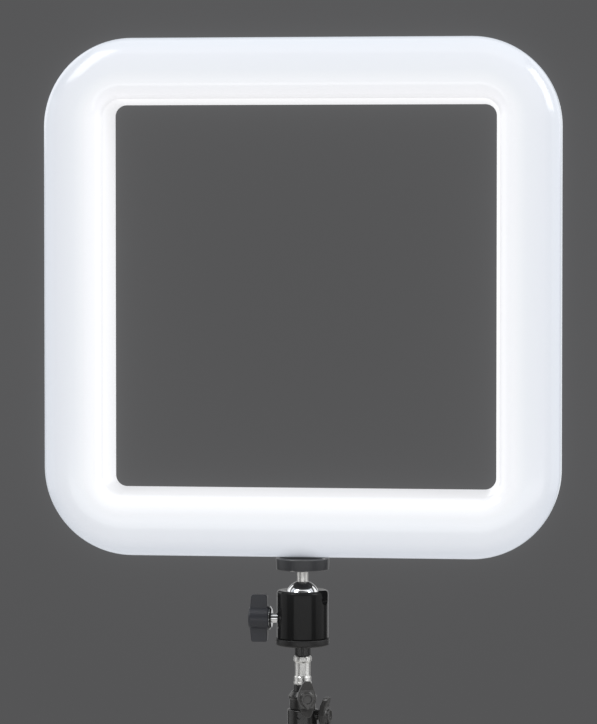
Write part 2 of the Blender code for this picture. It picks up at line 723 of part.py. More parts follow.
def build_cup(housing, finishes):
    """The cup that holds the ball, notched so that the stem can lie over, and drilled for the lock screw."""
    rim_angle = math.degrees(math.asin(SEAT_LIP / SEAT_RADIUS))
    profile = [(PAN_BORE, CUP_FLOOR), (CUP_RADIUS - CUP_CHAMFER[0], CUP_FLOOR)]
    profile.append((CUP_RADIUS, CUP_FLOOR + CUP_CHAMFER[1]))
    profile += arc((CUP_RADIUS - CUP_EDGE, CUP_RIM - CUP_EDGE), (CUP_EDGE, CUP_EDGE), 0, 90, 3)
    profile += arc((0, 0), (SEAT_RADIUS, SEAT_RADIUS), rim_angle, 0, 2)
    profile += [(SEAT_RADIUS, CUP_FLOOR_TOP), (PAN_BORE, CUP_FLOOR_TOP)]
    cup = piece("ball_cup", turned(profile, 28), finishes["black_metal"], housing)
    along = outward(NOTCH_AZIMUTH)
    cut(cup, moved(drill(NOTCH_HALF, NOTCH_START, NOTCH_END), along))
    cut(cup, moved(block((-NOTCH_HALF, 0, NOTCH_START), (NOTCH_HALF, NOTCH_TOP, NOTCH_END)), along))
    lock_hole = drill(LOCK_SCREW_RADIUS + GAP, LOCK_SCREW_START, NOTCH_END)
    cut(cup, moved(lock_hole, outward(LOCK_AZIMUTH, (0, 0, LOCK_HEIGHT))))


def build_grip(housing, finishes):
    """What grips the ball inside the cup: a brass seat ring and the pad that the lock screw pushes."""
    radius, outer = SEAT_RADIUS - SEAT_PLAY, SEAT_RADIUS - GAP
    high = math.degrees(math.asin(SEAT_TOP / SEAT_RADIUS))
    low = math.degrees(math.asin(SEAT_BOTTOM / SEAT_RADIUS))
    profile = arc((0, 0), (radius, radius), low, high, 2) + [(outer, SEAT_TOP), (outer, SEAT_BOTTOM)]
    piece("ball_seat", turned(profile, 20), finishes["brass"], housing)
    profile = [(0, PRESSURE_PAD[0][1]), *PRESSURE_PAD, (0, PRESSURE_PAD[-1][1])]
    piece("pressure_pad", turned(profile, 16), finishes["brass"], housing)


def build_base(base, finishes):
    """The base that the cup turns on, and the ring that keeps the cup on it."""
    top, bottom = CUP_FLOOR - GAP, HEAD_BOTTOM - BALL_CENTRE
    hub, groove, bore = BASE_HUB, BASE_GROOVE, STUD_RADIUS + GAP
    ring_low = CUP_FLOOR_TOP + GAP
    ring_high = ring_low + RING_THICK
    hub_top = ring_high + BASE_HUB_TOP
    profile = [(bore, bottom)] + [(BASE_RADIUS - inset, bottom + rise) for inset, rise in BASE_FOOT]
    profile += [(BASE_RADIUS, top - GAP), (BASE_RADIUS - GAP, top), (hub, top)]
    profile += [(hub, ring_low - GAP), (groove, ring_low - GAP), (groove, ring_high + GAP)]
    profile += [(hub, ring_high + GAP), (hub, hub_top), (bore, hub_top)]
    piece("pan_base", turned(profile, 28), finishes["black_metal"], base)
    ring = tube(RING_RADIUS, groove + GAP, ring_low, ring_high)
    piece("pan_retaining_ring", ring, finishes["steel"], base)


def lock_wings():
    """Both wings of the lock knob, drawn from the side: (distance from its axis, distance out)."""
    tip = LOCK_SPAN - LOCK_TIP
    front = [LOCK_FACE - drop for drop in LOCK_FRONT_DROPS]
    back = [LOCK_BACK + rise for rise in LOCK_BACK_RISES]
    half = [(0, front[0]), (tip, front[1]), (LOCK_SPAN, front[2])]
    half += [(LOCK_SPAN, back[0]), (tip, back[1]), (0, back[2])]
    outline = half + [(-y, z) for y, z in reversed(half[1:-1])]
    stand = Matrix(((0, 1, 0), (0, 0, 1), (1, 0, 0))).transposed().to_4x4()
    return moved(extruded(outline, -LOCK_WING, LOCK_WING), stand)


def build_lock(housing, finishes):
    """The two-winged lock knob, its screw and its washer, along an axis that leaves the cup level."""
    axis = empty("lock_axis", housing, outward(LOCK_AZIMUTH, (0, 0, LOCK_HEIGHT)))
    radius, grip = LOCK_SCREW_RADIUS, LOCK_BACK + LOCK_SCREW_GRIP
    edge = LOCK_EDGE
    profile = [(0, LOCK_BACK), (LOCK_HUB - edge, LOCK_BACK), (LOCK_HUB, LOCK_BACK + edge)]
    profile += [(LOCK_HUB, LOCK_FACE - edge), (LOCK_HUB - edge, LOCK_FACE - GAP), (0, LOCK_FACE)]
    knob = piece("lock_knob", turned(profile, 20), finishes["knob"], axis)
    join(knob, lock_wings())
    cut(knob, drill(radius + GAP, LOCK_BACK - MM, grip + GAP))

    start, (inset, taper) = LOCK_SCREW_START, LOCK_SCREW_TIP
    profile = [(0, start), (radius - inset, start), (radius, start + taper), (radius, grip), (0, grip)]
    piece("lock_screw", turned(profile, 16), finishes["steel"], axis)
    inner, outer = radius + GAP, WASHER_RADIUS
    front = LOCK_BACK - GAP
    back = front - WASHER_THICK
    profile = [(inner, back), (outer - WASHER_BEVEL[0], back), (outer, front - WASHER_BEVEL[1])]
    profile += [(outer, front), (inner, front)]
    piece("lock_washer", turned(profile, 20), finishes["steel"], axis)


# Stand column


def end_plug(plug, lip, low):
    """A plug in a tube's lower end at height low, with a lip that guides it in the next tube."""
    profile = [(0, low - PLUG_LIP), (lip, low - PLUG_LIP), (lip, low - GAP), (plug, low - GAP)]
    return turned(profile + [(plug, low + PLUG_REACH), (0, low + PLUG_REACH)], 16)


def build_riser(parent, finishes):
    """The top section: a threaded adapter, the metal spigot, its tube and the plug in the tube's end."""
    neck_top, neck_low = HEAD_BOTTOM - GAP, SPIGOT_TOP + GAP
    pin_end, stud_end = neck_low - ADAPTER_REACH, neck_top + ADAPTER_REACH
    profile = [(0, pin_end), (ADAPTER_PIN, pin_end), (ADAPTER_PIN, neck_low), (ADAPTER_RADIUS, neck_low)]
    profile += [(ADAPTER_RADIUS, neck_top), (STUD_RADIUS, neck_top), (STUD_RADIUS, stud_end), (0, stud_end)]
    piece("thread_adapter", turned(profile, 16), finishes["black_metal"], parent)

    bore, bore_end, end = ADAPTER_PIN + GAP, SPIGOT_TOP - SPIGOT_BORE_DEPTH, SPIGOT_TOP - SPIGOT_LENGTH
    neck, shoulder = RISER_BORE - GAP, SPIGOT_COLLAR[-1][1]
    outside = SPIGOT_FLANGE + SPIGOT_WAIST + SPIGOT_COLLAR + [(neck, shoulder)]
    profile = [(0, bore_end), (bore, bore_end), (bore, SPIGOT_TOP)]
    profile += [(radius, SPIGOT_TOP - drop) for radius, drop in outside]
    piece("spigot", turned(profile + [(neck, end), (0, end)], 18), finishes["aluminium"], parent)

    low = RISER_TOP - RISER_LENGTH
    piece("riser_tube", tube(RISER_RADIUS, RISER_BORE, low, RISER_TOP), finishes["black_paint"], parent)
    plug = end_plug(RISER_BORE - GAP, MIDDLE_BORE - GAP, low)
    piece("riser_end_plug", plug, finishes["black_plastic"], parent)


def wing_outline(span, waist, tip):
    """Half of a wing nut's pointed outline, mirrored."""
    top = [(waist, 0), (0.88 * waist, 0.35 * span), (tip, 0.85 * span), (0.6 * tip, span)]
    right = [(x, -y) for x, y in reversed(top[1:])] + top
    return right + [(-x, y) for x, y in reversed(right)]


def build_wing_knob(name, parent, azimuth, height, face, tube_radius, finishes):
    """A wing knob and its clamping screw, along an axis that leaves the column level."""
    axis = empty(f"{name}_axis", parent, outward(azimuth, (0, 0, height)))
    profile = [(0, face), (WING_HUB, face)] + [(radius, face + rise) for radius, rise in WING_HUB_TOP]
    knob = piece(f"{name}_knob", turned(profile, 20), finishes["knob"], axis)
    back = face + WING_BACK
    join(knob, extruded(wing_outline(WING_SPAN, WING_WAIST, WING_TIP), back, back + WING_THICK))
    start, end = tube_radius + GAP, face + CLAMP_SCREW_GRIP
    cut(knob, drill(CLAMP_SCREW + GAP, face - MM, end + GAP))
    piece(f"{name}_screw", drill(CLAMP_SCREW, start, end, 12), finishes["steel"], axis)


def screw_hole(azimuth, height):
    """A cutter from the column's axis out, for a clamp's screw."""
    hole = drill(CLAMP_SCREW + GAP, CLAMP_HOLE_START, CLAMP_HOLE_END, 12)
    return moved(hole, outward(azimuth, (0, 0, height)))


def build_clamp(name, parent, profile, azimuth, height, face, finishes):
    """A clamp collar turned from profile, with a drilled boss for its screw."""
    clamp = piece(name, turned(profile, 20), finishes["black_plastic"], parent)
    join(clamp, moved(drill(BOSS_RADIUS, BOSS_START, face - BOSS_PLAY), outward(azimuth, (0, 0, height))))
    cut(clamp, screw_hole(azimuth, height))


def build_middle(parent, finishes):
    """The middle section: its clamp on top, its tube and the plug in the tube's end."""
    top, bottom, lip, sleeve = UPPER_CLAMP_TOP, UPPER_CLAMP_BOTTOM, UPPER_LIP, UPPER_SLEEVE
    guide, grip, stop = RISER_RADIUS + GAP, MIDDLE_RADIUS + GAP, MIDDLE_TOP + GAP
    near, far, end = UPPER_LIP_DROPS
    profile = [(grip, bottom), (sleeve, bottom), (sleeve, top - end), (lip, top - far), (lip, top - near)]
    profile += [(lip - UPPER_LIP_CHAMFER, top), (guide, top), (guide, stop), (grip, stop)]
    place = (UPPER_KNOB_AZIMUTH, UPPER_KNOB_HEIGHT)
    build_clamp("upper_clamp", parent, profile, *place, UPPER_FACE, finishes)
    build_wing_knob("upper_clamp", parent, *place, UPPER_FACE, RISER_RADIUS, finishes)

    low = MIDDLE_TOP - MIDDLE_LENGTH
    body = tube(MIDDLE_RADIUS, MIDDLE_BORE, low, MIDDLE_TOP)
    middle = piece("middle_tube", body, finishes["black_paint"], parent)
    cut(middle, screw_hole(*place))
    plug = end_plug(MIDDLE_BORE - GAP, OUTER_BORE - GAP, low)
    piece("middle_end_plug", plug, finishes["black_plastic"], parent)


def build_outer(parent, finishes):
    """The fixed section: its clamp on top, its tube and the cap under the hub."""
    top, bottom, neck, skirt = LOWER_CLAMP_TOP, LOWER_CLAMP_BOTTOM, LOWER_NECK, LOWER_SKIRT
    guide, grip, stop = MIDDLE_RADIUS + GAP, OUTER_RADIUS + GAP, OUTER_TOP + GAP
    high, low = LOWER_SHOULDER
    edge = LOWER_CHAMFER
    profile = [(grip, bottom), (skirt - edge, bottom), (skirt, bottom + edge), (skirt, top - low)]
    profile += [(neck, top - high), (neck, top - edge), (neck - edge, top), (guide, top)]
    profile += [(guide, stop), (grip, stop)]
    place = (LOWER_KNOB_AZIMUTH, LOWER_KNOB_HEIGHT)
    build_clamp("lower_clamp", parent, profile, *place, LOWER_FACE, finishes)
    build_wing_knob("lower_clamp", parent, *place, LOWER_FACE, MIDDLE_RADIUS, finishes)

    outer = tube(OUTER_RADIUS, OUTER_BORE, HUB_BOTTOM, OUTER_TOP, 24)
    piece("outer_tube", outer, finishes["black_paint"], parent)
    plug, lip, edge, low = OUTER_BORE - GAP, CAP_RADIUS, CAP_CHAMFER, HUB_BOTTOM - GAP
    profile = [(0, low - PLUG_LIP), (lip - edge, low - PLUG_LIP), (lip, low - PLUG_LIP + edge), (lip, low)]
    profile += [(plug, low), (plug, low + PLUG_REACH), (0, low + PLUG_REACH)]
    piece("column_cap", turned(profile, 20), finishes["black_plastic"], parent)


# Tripod base


def lug_outline(radius, start):
    """A lug's side outline: flat at the column and round about the pivot."""
    return [(start, -radius), *arc((LEG_PIVOT_RADIUS, 0), (radius, radius), -90, 90, 6), (start, radius)]


def across_leg(outline, half):
    """An outline of (distance out, height), drawn out sideways by half each way."""
    lay = Matrix(((1, 0, 0), (0, 0, 1), (0, -1, 0))).transposed().to_4x4()
    return moved(extruded(outline, -half, half), lay)


def around_column(make):
    """One shape for each leg, turned to its azimuth at the pivots' height."""
    lift = Matrix.Translation((0, 0, PIVOT_HEIGHT))
    return together([moved(make(), lift @ Matrix.Rotation(azimuth, 4, "Z")) for azimuth in LEG_AZIMUTHS])


def pivot_pin(radius, half):
    """A round bar across a leg's pivot."""
    lie = Matrix.Translation((LEG_PIVOT_RADIUS, 0, 0)) @ Matrix.Rotation(math.pi / 2, 4, "X")
    return moved(drill(radius, -half, half, 12), lie)


def build_hub(parent, finishes):
    """The hub with its three pairs of lugs, and the pins across them."""
    grip, core, edge = OUTER_RADIUS + GAP, HUB_RADIUS, HUB_CHAMFER
    profile = [(grip, HUB_BOTTOM), (core - edge, HUB_BOTTOM), (core, HUB_BOTTOM + edge)]
    profile += [(core, HUB_TOP - HUB_SHOULDER[1]), (core - HUB_SHOULDER[0], HUB_TOP), (grip, HUB_TOP)]
    hub = piece("base_hub", turned(profile, 24), finishes["black_plastic"], parent)
    join(hub, around_column(lambda: across_leg(lug_outline(LUG_RADIUS, LUG_START), LUG_WIDTH / 2)))
    slot, reach, far = TONGUE_WIDTH / 2 + TONGUE_PLAY, LEG_PIVOT_RADIUS - TONGUE_RADIUS, HUB_SLOT_REACH
    near = reach - TONGUE_PLAY
    cut(hub, around_column(lambda: block((near, -slot, -far / 2), (far, slot, far / 2))))
    cut(hub, around_column(lambda: pivot_pin(PIN_RADIUS + GAP, LUG_WIDTH)))
    for number, azimuth in enumerate(LEG_AZIMUTHS, 1):
        place = Matrix.Translation((0, 0, PIVOT_HEIGHT)) @ Matrix.Rotation(azimuth, 4, "Z")
        pin = moved(pivot_pin(PIN_RADIUS, PIN_HALF), place)
        piece(f"leg_pin_{number}", pin, finishes["steel"], parent)


def build_foot(number, pivot, along, finishes):
    """A rubber foot on a leg's end, cut flat where it stands on the floor."""
    cuff, bore, end = FOOT_CUFF, LEG_RADIUS + GAP, LEG_END
    profile = [(0, end + GAP), (bore, end + GAP), (bore, end - FOOT_SLEEVE), (cuff, end - FOOT_SLEEVE)]
    profile.append((FOOT_RADIUS, end - FOOT_FLARE))
    profile += arc((0, LEG_LENGTH), (FOOT_RADIUS, FOOT_RADIUS), 0, 90, 4)[:-1]
    foot = moved(turned(profile + [(0, LEG_LENGTH + FOOT_RADIUS)], 16), along)
    floor = (Matrix.Translation((0, 0, PIVOT_HEIGHT)) @ Matrix.Rotation(LEG_SLOPE, 4, "Y")).inverted()
    plane = {"plane_co": floor @ Vector(), "plane_no": floor.to_3x3() @ Vector((0, 0, 1))}
    everything = foot.verts[:] + foot.edges[:] + foot.faces[:]
    sole = bmesh.ops.bisect_plane(foot, geom=everything, clear_inner=True, **plane)
    rim = [item for item in sole["geom_cut"] if isinstance(item, bmesh.types.BMEdge)]
    bmesh.ops.contextual_create(foot, geom=rim)
    piece(f"foot_{number}", foot, finishes["rubber"], pivot)


def build_leg(number, azimuth, parent, finishes):
    """A leg along its own X axis, with its hinge tongue, tube and rubber foot."""
    swing = Matrix.Rotation(azimuth, 4, "Z") @ Matrix.Translation((LEG_PIVOT_RADIUS, 0, PIVOT_HEIGHT))
    pivot = empty(f"leg_{number}_pivot", parent, swing @ Matrix.Rotation(LEG_SLOPE, 4, "Y"))
    along = Matrix.Rotation(math.pi / 2, 4, "Y")

    plug, shoulder, stop = LEG_BORE - GAP, ROOT_RADIUS, LEG_START - GAP
    profile = [(0, ROOT_START), (shoulder - ROOT_TAPER, ROOT_START), (shoulder, ROOT_START + ROOT_TAPER)]
    profile += [(shoulder, stop), (plug, stop), (plug, ROOT_END), (0, ROOT_END)]
    root = piece(f"leg_root_{number}", moved(turned(profile, 16), along), finishes["black_plastic"], pivot)
    tongue = [(TONGUE_ROOT, -TONGUE_RADIUS), (TONGUE_ROOT, TONGUE_RADIUS)]
    tongue += arc((0, 0), (TONGUE_RADIUS, TONGUE_RADIUS), 90, 270, 6)
    join(root, across_leg(tongue, TONGUE_WIDTH / 2))
    hole = drill(PIN_RADIUS + GAP, -LUG_WIDTH, LUG_WIDTH, 12)
    cut(root, moved(hole, Matrix.Rotation(math.pi / 2, 4, "X")))

    leg = moved(tube(LEG_RADIUS, LEG_BORE, LEG_START, LEG_END, 16), along)
    piece(f"leg_tube_{number}", leg, finishes["black_paint"], pivot)
    build_foot(number, pivot, along, finishes)


def make_finishes():
    """The materials, by name."""
    return {
        "diffuser": finish("milk_white_acrylic", (0.93, 0.95, 0.98), 0.22),
        "housing": finish("black_abs", (0.025, 0.025, 0.027), 0.5),
        "tray": finish("white_reflector", (0.9, 0.9, 0.9), 0.6),
        "board": finish("white_circuit_board", (0.85, 0.86, 0.84), 0.5),
        "pcb": finish("green_circuit_board", (0.03, 0.2, 0.07), 0.5),
        "knob": finish("knob_plastic", (0.03, 0.03, 0.033), 0.45),
        "black_plastic": finish("clamp_plastic", (0.028, 0.028, 0.03), 0.5),
        "black_metal": finish("black_anodised", (0.018, 0.018, 0.02), 0.3, 0.6),
        "black_paint": finish("black_tube_paint", (0.02, 0.02, 0.02), 0.35),
        "chrome": finish("chrome_plate", (0.82, 0.83, 0.85), 0.08, 1.0),
        "steel": finish("zinc_steel", (0.6, 0.6, 0.58), 0.3, 1.0),
        "aluminium": finish("turned_aluminium", (0.74, 0.74, 0.73), 0.22, 1.0),
        "brass": finish("brass", (0.75, 0.56, 0.26), 0.3, 1.0),
        "rubber": finish("black_rubber", (0.02, 0.02, 0.02), 0.8),
    }


def main():
    clear_scene()
    finishes = make_finishes()
    column = empty("column", None, Matrix.Translation((0, COLUMN_Y, 0)))
    middle = empty("middle_section", column)
    riser = empty("riser_section", middle)
    base = empty("pan_base_place", riser, Matrix.Translation((0, 0, BALL_CENTRE)))
    housing = empty("ball_housing", base)
    ball = empty("ball", housing)
    light = empty("light_head", ball)
    frame = empty("frame_centre", light, Matrix.Translation((0, -SOCKET_Y, FRAME_CENTRE - BALL_CENTRE)))

    build_shells(frame, finishes)
    build_socket(frame, finishes)
    build_screws(frame, finishes)
    build_led_boards(frame, finishes)
    build_driver(frame, finishes)
    build_dial("brightness", BRIGHTNESS_X, frame, finishes)
    build_dial("colour", COLOUR_X, frame, finishes)
    build_switch(frame, finishes)
    build_inlet(frame, finishes)
    build_platform(light, finishes)
    build_ball(ball, finishes)
    build_cup(housing, finishes)
    build_grip(housing, finishes)
    build_lock(housing, finishes)
    build_base(base, finishes)
    build_riser(riser, finishes)
    build_middle(middle, finishes)
    build_outer(column, finishes)
    build_hub(column, finishes)
    for number, azimuth in enumerate(LEG_AZIMUTHS, 1):
        build_leg(number, azimuth, column, finishes)


main()
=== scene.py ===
"""Looks of an open square LED light on a ball head and a compact telescopic stand.

Shapes are drawn in millimetres, each in a frame of its own, and piece() sets them in the part's frame,
which is in metres with +Z up. The light shines towards -Y. A profile or outline of (x, y, edge) points has
its corners rounded to each point's edge radius, and half sizes are counted from the middle.
"""

import json
import math

import bmesh
import bpy
from mathutils import Matrix, Vector


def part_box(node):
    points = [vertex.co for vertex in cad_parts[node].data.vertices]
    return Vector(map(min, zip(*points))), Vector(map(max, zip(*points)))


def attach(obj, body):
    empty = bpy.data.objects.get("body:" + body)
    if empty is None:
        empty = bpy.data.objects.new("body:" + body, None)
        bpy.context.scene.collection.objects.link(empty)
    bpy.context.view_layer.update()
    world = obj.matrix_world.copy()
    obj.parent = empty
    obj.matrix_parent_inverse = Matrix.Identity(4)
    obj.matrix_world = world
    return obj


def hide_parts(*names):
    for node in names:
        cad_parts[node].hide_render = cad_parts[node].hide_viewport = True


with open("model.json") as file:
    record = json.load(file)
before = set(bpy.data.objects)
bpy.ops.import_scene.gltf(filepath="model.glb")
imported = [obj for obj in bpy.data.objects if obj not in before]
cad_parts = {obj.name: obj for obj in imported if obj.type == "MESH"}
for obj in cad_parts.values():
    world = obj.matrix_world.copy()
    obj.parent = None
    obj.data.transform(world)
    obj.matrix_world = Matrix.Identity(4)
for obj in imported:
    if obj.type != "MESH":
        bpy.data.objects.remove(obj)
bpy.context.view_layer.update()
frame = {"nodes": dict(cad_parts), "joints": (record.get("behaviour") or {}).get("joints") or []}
JOINTS = {joint["name"]: joint for joint in frame["joints"]}

MM = 0.001
GAP = 0.3
SIDES = 96
FINE_SIDES = 128
SMALL_SIDES = 48
FINE_MOULD = {"voxel": 0.2, "passes": 2}
SOFT_MOULD = {"voxel": 0.4, "passes": 3}
SMOOTH_ANGLE = math.radians(35)
UP = Vector((0, 0, 1))


def size(node):
    """A node's size along X, Y and Z, in millimetres."""
    low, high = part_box(node)
    return (high - low) / MM


def middle(node):
    """The middle of a node's box, in metres."""
    low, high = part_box(node)
    return (low + high) / 2


def heights(node, origin=Vector()):
    """A node's lowest and highest level above origin, or above the floor, in millimetres."""
    low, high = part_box(node)
    return (low.z - origin.z) / MM, (high.z - origin.z) / MM


def pivot(name):
    """The point that a joint turns about, in metres."""
    return Vector(JOINTS[name]["pos_m"])


# Light frame: distances out from its hole, and depths from its front
FRAME_SIZE = size("front_diffuser").x
FRAME_DEPTH = (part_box("rear_housing")[1].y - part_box("front_diffuser")[0].y) / MM
FRAME_MIDDLE = middle("front_diffuser")
FRAME_MIDDLE.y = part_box("front_diffuser")[0].y + FRAME_DEPTH / 2 * MM
RING = 45
HOLE_HALF = FRAME_SIZE / 2 - RING
OUTER_CORNER = 60
INNER_CORNER = 7.5
CORNER_STEPS = 28
WALL = 2.2
PARTING = 26
CURVE_START = 20
CURVE_DEPTH = 15
CURVE_STEPS = 32
INNER_EDGE = 12
INNER_EDGE_STEPS = 10
INNER_DRAFT = 5
INNER_END = 39.5
REAR_STEP = 1
REAR_START = 0.5
REAR_EDGE = 8
REAR_FLAT = 20
LIP = 1.5
LIP_REACH = 2.2
SOCKET_RADIUS = 7
VENT_COUNT = 7
VENT_PITCH = 6.5
VENT_HALF = (1.2, 9)

# Controls and screws on the back, heights out of it
THROUGH = 12
SCREW_SHANK = 1.5
SCREW_HEAD = 3
SCREW_HEAD_HEIGHT = 1.1
SCREW_LENGTH = 14
SCREW_SLOT_HALF = (0.35, 1.5)
DIALS = ("brightness", "colour")
DIAL_RADIUS = 7.9
DIAL_HEIGHT = 9
DIAL_FLUTES = 24
DIAL_SHAFT = 3
SCALE_END = math.radians(135)
SCALE_MARKS = 11
SWITCH_HALF = (6.5, 10)
ROCKER_LEAN = math.radians(8)
DISH_RADIUS = 19.6
DISH_HEIGHT = 21
INLET_RADIUS = 4.5

# Ball head, measured from the ball's centre
BALL = pivot("ball_tilt")
LOCK_SCREW = 3.2
LOCK_SCREW_START = 7.8
STUD = 3.1
STEM = 3.7
BALL_RADIUS = 11.8
SEAT_RADIUS = BALL_RADIUS + 0.35
NOTCH_AZIMUTH = math.radians(-22)
NOTCH_HALF = STEM + 0.6

# Column, heights from the floor
COLUMN = middle("riser_tube")
COLUMN.z = 0
ON_COLUMN = Matrix.Translation(COLUMN)
RISER_RADIUS = size("riser_tube").x / 2
MIDDLE_RADIUS = size("middle_tube").x / 2
OUTER_RADIUS = size("outer_tube").x / 2
CLAMP_SCREW = 2.2
UPPER_FACE = 12
LOWER_FACE = 13

# Tripod base, distances along a leg from its pivot
LEG_PIVOT = 20
LEG_SLOPE = Matrix.Rotation(math.radians(22), 4, "Y")
LEG_LENGTH = 270
LEG_RADIUS = 6
LEG_BORE = 4.8
LEG_TUBE_START = 16
LEG_TUBE_END = LEG_LENGTH - 8.5
PIN_RADIUS = 2.5
LEG_NUMBERS = (1, 2, 3)
ALONG_LEG = Matrix.Rotation(math.pi / 2, 4, "Y")

# Looks
METAL = 1.0
GRAIN_LOW, GRAIN_HIGH = 0.3, 0.7
GLOSS_SPREAD = 0.15
QUARTER_TURN = 0.25
# Raised edges, by pointiness, for the rubbed metal and painted highlight
EDGE_START, EDGE_FULL = 0.515, 0.55
# Painted shade on the lower bar round the tripod socket: where it starts and ends, in millimetres, and the
# least share of glow left
SHADE_NEAR, SHADE_FAR, SHADE_LEAST = 8, 26, 0.35
GLOW_STOPS = [
    (0.0, (0.48, 0.48, 0.49)), (0.08, (0.58, 0.58, 0.59)), (0.16, (0.65, 0.65, 0.67)),
    (0.3, (0.63, 0.64, 0.66)), (0.5, (0.54, 0.56, 0.59)), (0.75, (0.50, 0.52, 0.56)),
    (0.97, (0.41, 0.44, 0.49)), (1.0, (0.32, 0.35, 0.39)),
]

# Stage, in metres
FLOOR_COLOUR = (0.72, 0.71, 0.69)
FLOOR_RADIUS = 1.4
FLOOR_FADE_START = 0.45
FLOOR_DROP = 0.0005
BACKDROP_COLOUR = (0.09, 0.09, 0.092)
CAMERA_PLACE = Vector((0.2611, -2.3175, 0.760))
CAMERA_TARGET = Vector((-0.0021, -0.0739, 0.6905))
CAMERA_LENS = 166.7
CAMERA_SHIFT = -0.08


# Shapes


def arc(centre, radius, start, end, steps, rise=None):
    """Points on a round arc, or an oval one where rise is given, angles in degrees and both ends included."""
    points = []
    for i in range(steps + 1):
        angle = math.radians(start + (end - start) * i / steps)
        x, y = radius * math.cos(angle), (rise or radius) * math.sin(angle)
        points.append((centre[0] + x, centre[1] + y))
    return points


def rounded(points, closed=True, steps=6):
    """A line through (x, y, radius) points with a round corner of that radius at each."""
    line, limit = [], 0.49
    for i, (x, y, radius) in enumerate(points):
        corner = Vector((x, y))
        if radius == 0 or (not closed and i in (0, len(points) - 1)):
            line.append((x, y))
            continue
        back = Vector(points[i - 1][:2]) - corner
        ahead = Vector(points[(i + 1) % len(points)][:2]) - corner
        half = back.angle(ahead) / 2
        reach = min(radius / math.tan(half), limit * back.length, limit * ahead.length)
        start = corner + back.normalized() * reach
        end = corner + ahead.normalized() * reach
        weight = math.sin(half)
        for step in range(steps + 1):
            along = step / steps
            shares = ((1 - along) ** 2, 2 * weight * along * (1 - along), along ** 2)
            point = (start * shares[0] + corner * shares[1] + end * shares[2]) / sum(shares)
            line.append(tuple(point))
    return line


def inset(outline, distance):
    """A closed counter-clockwise outline moved in by a distance."""
    count = len(outline)
    points = []
    for i in range(count):
        here = Vector(outline[i])
        back = (here - Vector(outline[i - 1])).normalized()
        ahead = (Vector(outline[(i + 1) % count]) - here).normalized()
        first, second = Vector((-back.y, back.x)), Vector((-ahead.y, ahead.x))
        points.append(tuple(here + (first + second) * distance / (1 + first.dot(second))))
    return points


def turned(profile, sides=SIDES, flutes=0, flute_depth=0.0):
    """Turns (radius, height) points about Z. A profile that leaves the axis is closed into a ring."""
    bm = bmesh.new()
    rings = []
    for radius, height in profile:
        if radius == 0:
            rings.append([bm.verts.new((0, 0, height))])
            continue
        ring = []
        for i in range(sides):
            angle = math.tau * i / sides
            reach = radius - flute_depth * (0.5 - 0.5 * math.cos(flutes * angle))
            ring.append(bm.verts.new((reach * math.cos(angle), reach * math.sin(angle), height)))
        rings.append(ring)
    on_axis = profile[0][0] == 0 and profile[-1][0] == 0
    for lower, upper in zip(rings, rings[1:] if on_axis else rings[1:] + rings[:1]):
        for i in range(sides):
            j = (i + 1) % sides
            corners = [lower[i % len(lower)], lower[j % len(lower)]]
            corners += [upper[j % len(upper)], upper[i % len(upper)]]
            bm.faces.new(list(dict.fromkeys(corners)))
    return bm


def lathe(points, sides=SIDES, steps=6, **flutes):
    """Turns (radius, height, edge) points about Z with rounded corners."""
    return turned(rounded(points, closed=points[0][0] > 0, steps=steps), sides, **flutes)


def bar(radius, low, high, edge=0.0, sides=SIDES):
    """A round bar along Z with rounded ends."""
    return lathe([(0, low, 0), (radius, low, edge), (radius, high, edge), (0, high, 0)], sides, steps=4)


def tube(outer, bore, low, high, edge=0.3):
    """A tube along Z with rounded ends."""
    return lathe([(bore, low, 0), (outer, low, edge), (outer, high, edge), (bore, high, edge)])


def slab(outline, low, high, edge=0.0, steps=4):
    """A prism over an outline, its upper and lower edges rounded."""
    turns = [math.pi / 2 * i / steps for i in range(steps + 1)] if edge else [math.pi / 2]
    bevel = [(edge * (1 - math.sin(turn)), edge * (1 - math.cos(turn))) for turn in turns]
    levels = [(move, low + rise) for move, rise in bevel]
    levels += [(move, high - rise) for move, rise in bevel[::-1]]
    bm = bmesh.new()
    loops = []
    for move, height in levels:
        points = inset(outline, move) if move else outline
        loops.append([bm.verts.new((x, y, height)) for x, y in points])
    bm.faces.new(reversed(loops[0]))
    bm.faces.new(loops[-1])
    for lower, upper in zip(loops, loops[1:]):
        for i in range(len(outline)):
            j = (i + 1) % len(outline)
            bm.faces.new((lower[i], lower[j], upper[j], upper[i]))
    return bm


def rectangle(width, height, radius, centre=(0, 0)):
    """A rectangle with round corners, from its half sizes."""
    x, y = centre
    signs = [(1, -1), (1, 1), (-1, 1), (-1, -1)]
    return rounded([(x + right * width, y + up * height, radius) for right, up in signs])


def moved(bm, matrix):
    """bm, moved by a matrix."""
    bmesh.ops.transform(bm, matrix=matrix, verts=bm.verts)
    return bm


def sideways(bm):
    """A shape drawn in XY and extruded along Z, stood so that its X and Y become Y and Z."""
    return moved(bm, Matrix(((0, 0, 1, 0), (1, 0, 0, 0), (0, 1, 0, 0), (0, 0, 0, 1))))


def upright(bm):
    """A shape drawn in XY and extruded along Z, stood so that its Y becomes Z."""
    return moved(bm, Matrix.Rotation(math.pi / 2, 4, "X"))


def mesh_of(bm, name):
    """A mesh made from bm, which is freed."""
    mesh = bpy.data.meshes.new(name)
    bm.to_mesh(mesh)
    bm.free()
    return mesh


def new_object(name, data):
    """A new object in the scene."""
    obj = bpy.data.objects.new(name, data)
    bpy.context.scene.collection.objects.link(obj)
    return obj


def together(shapes):
    """Several shapes in one bmesh."""
    whole = bmesh.new()
    for shape in shapes:
        mesh = mesh_of(shape, "shape")
        whole.from_mesh(mesh)
        bpy.data.meshes.remove(mesh)
    return whole


def outward(direction, origin):
    """A frame at origin whose Z axis points along a level direction and whose Y axis points up."""
    out = Vector(direction).normalized()
    turn = Matrix((UP.cross(out), UP, out)).transposed().to_4x4()
    return at(origin) @ turn


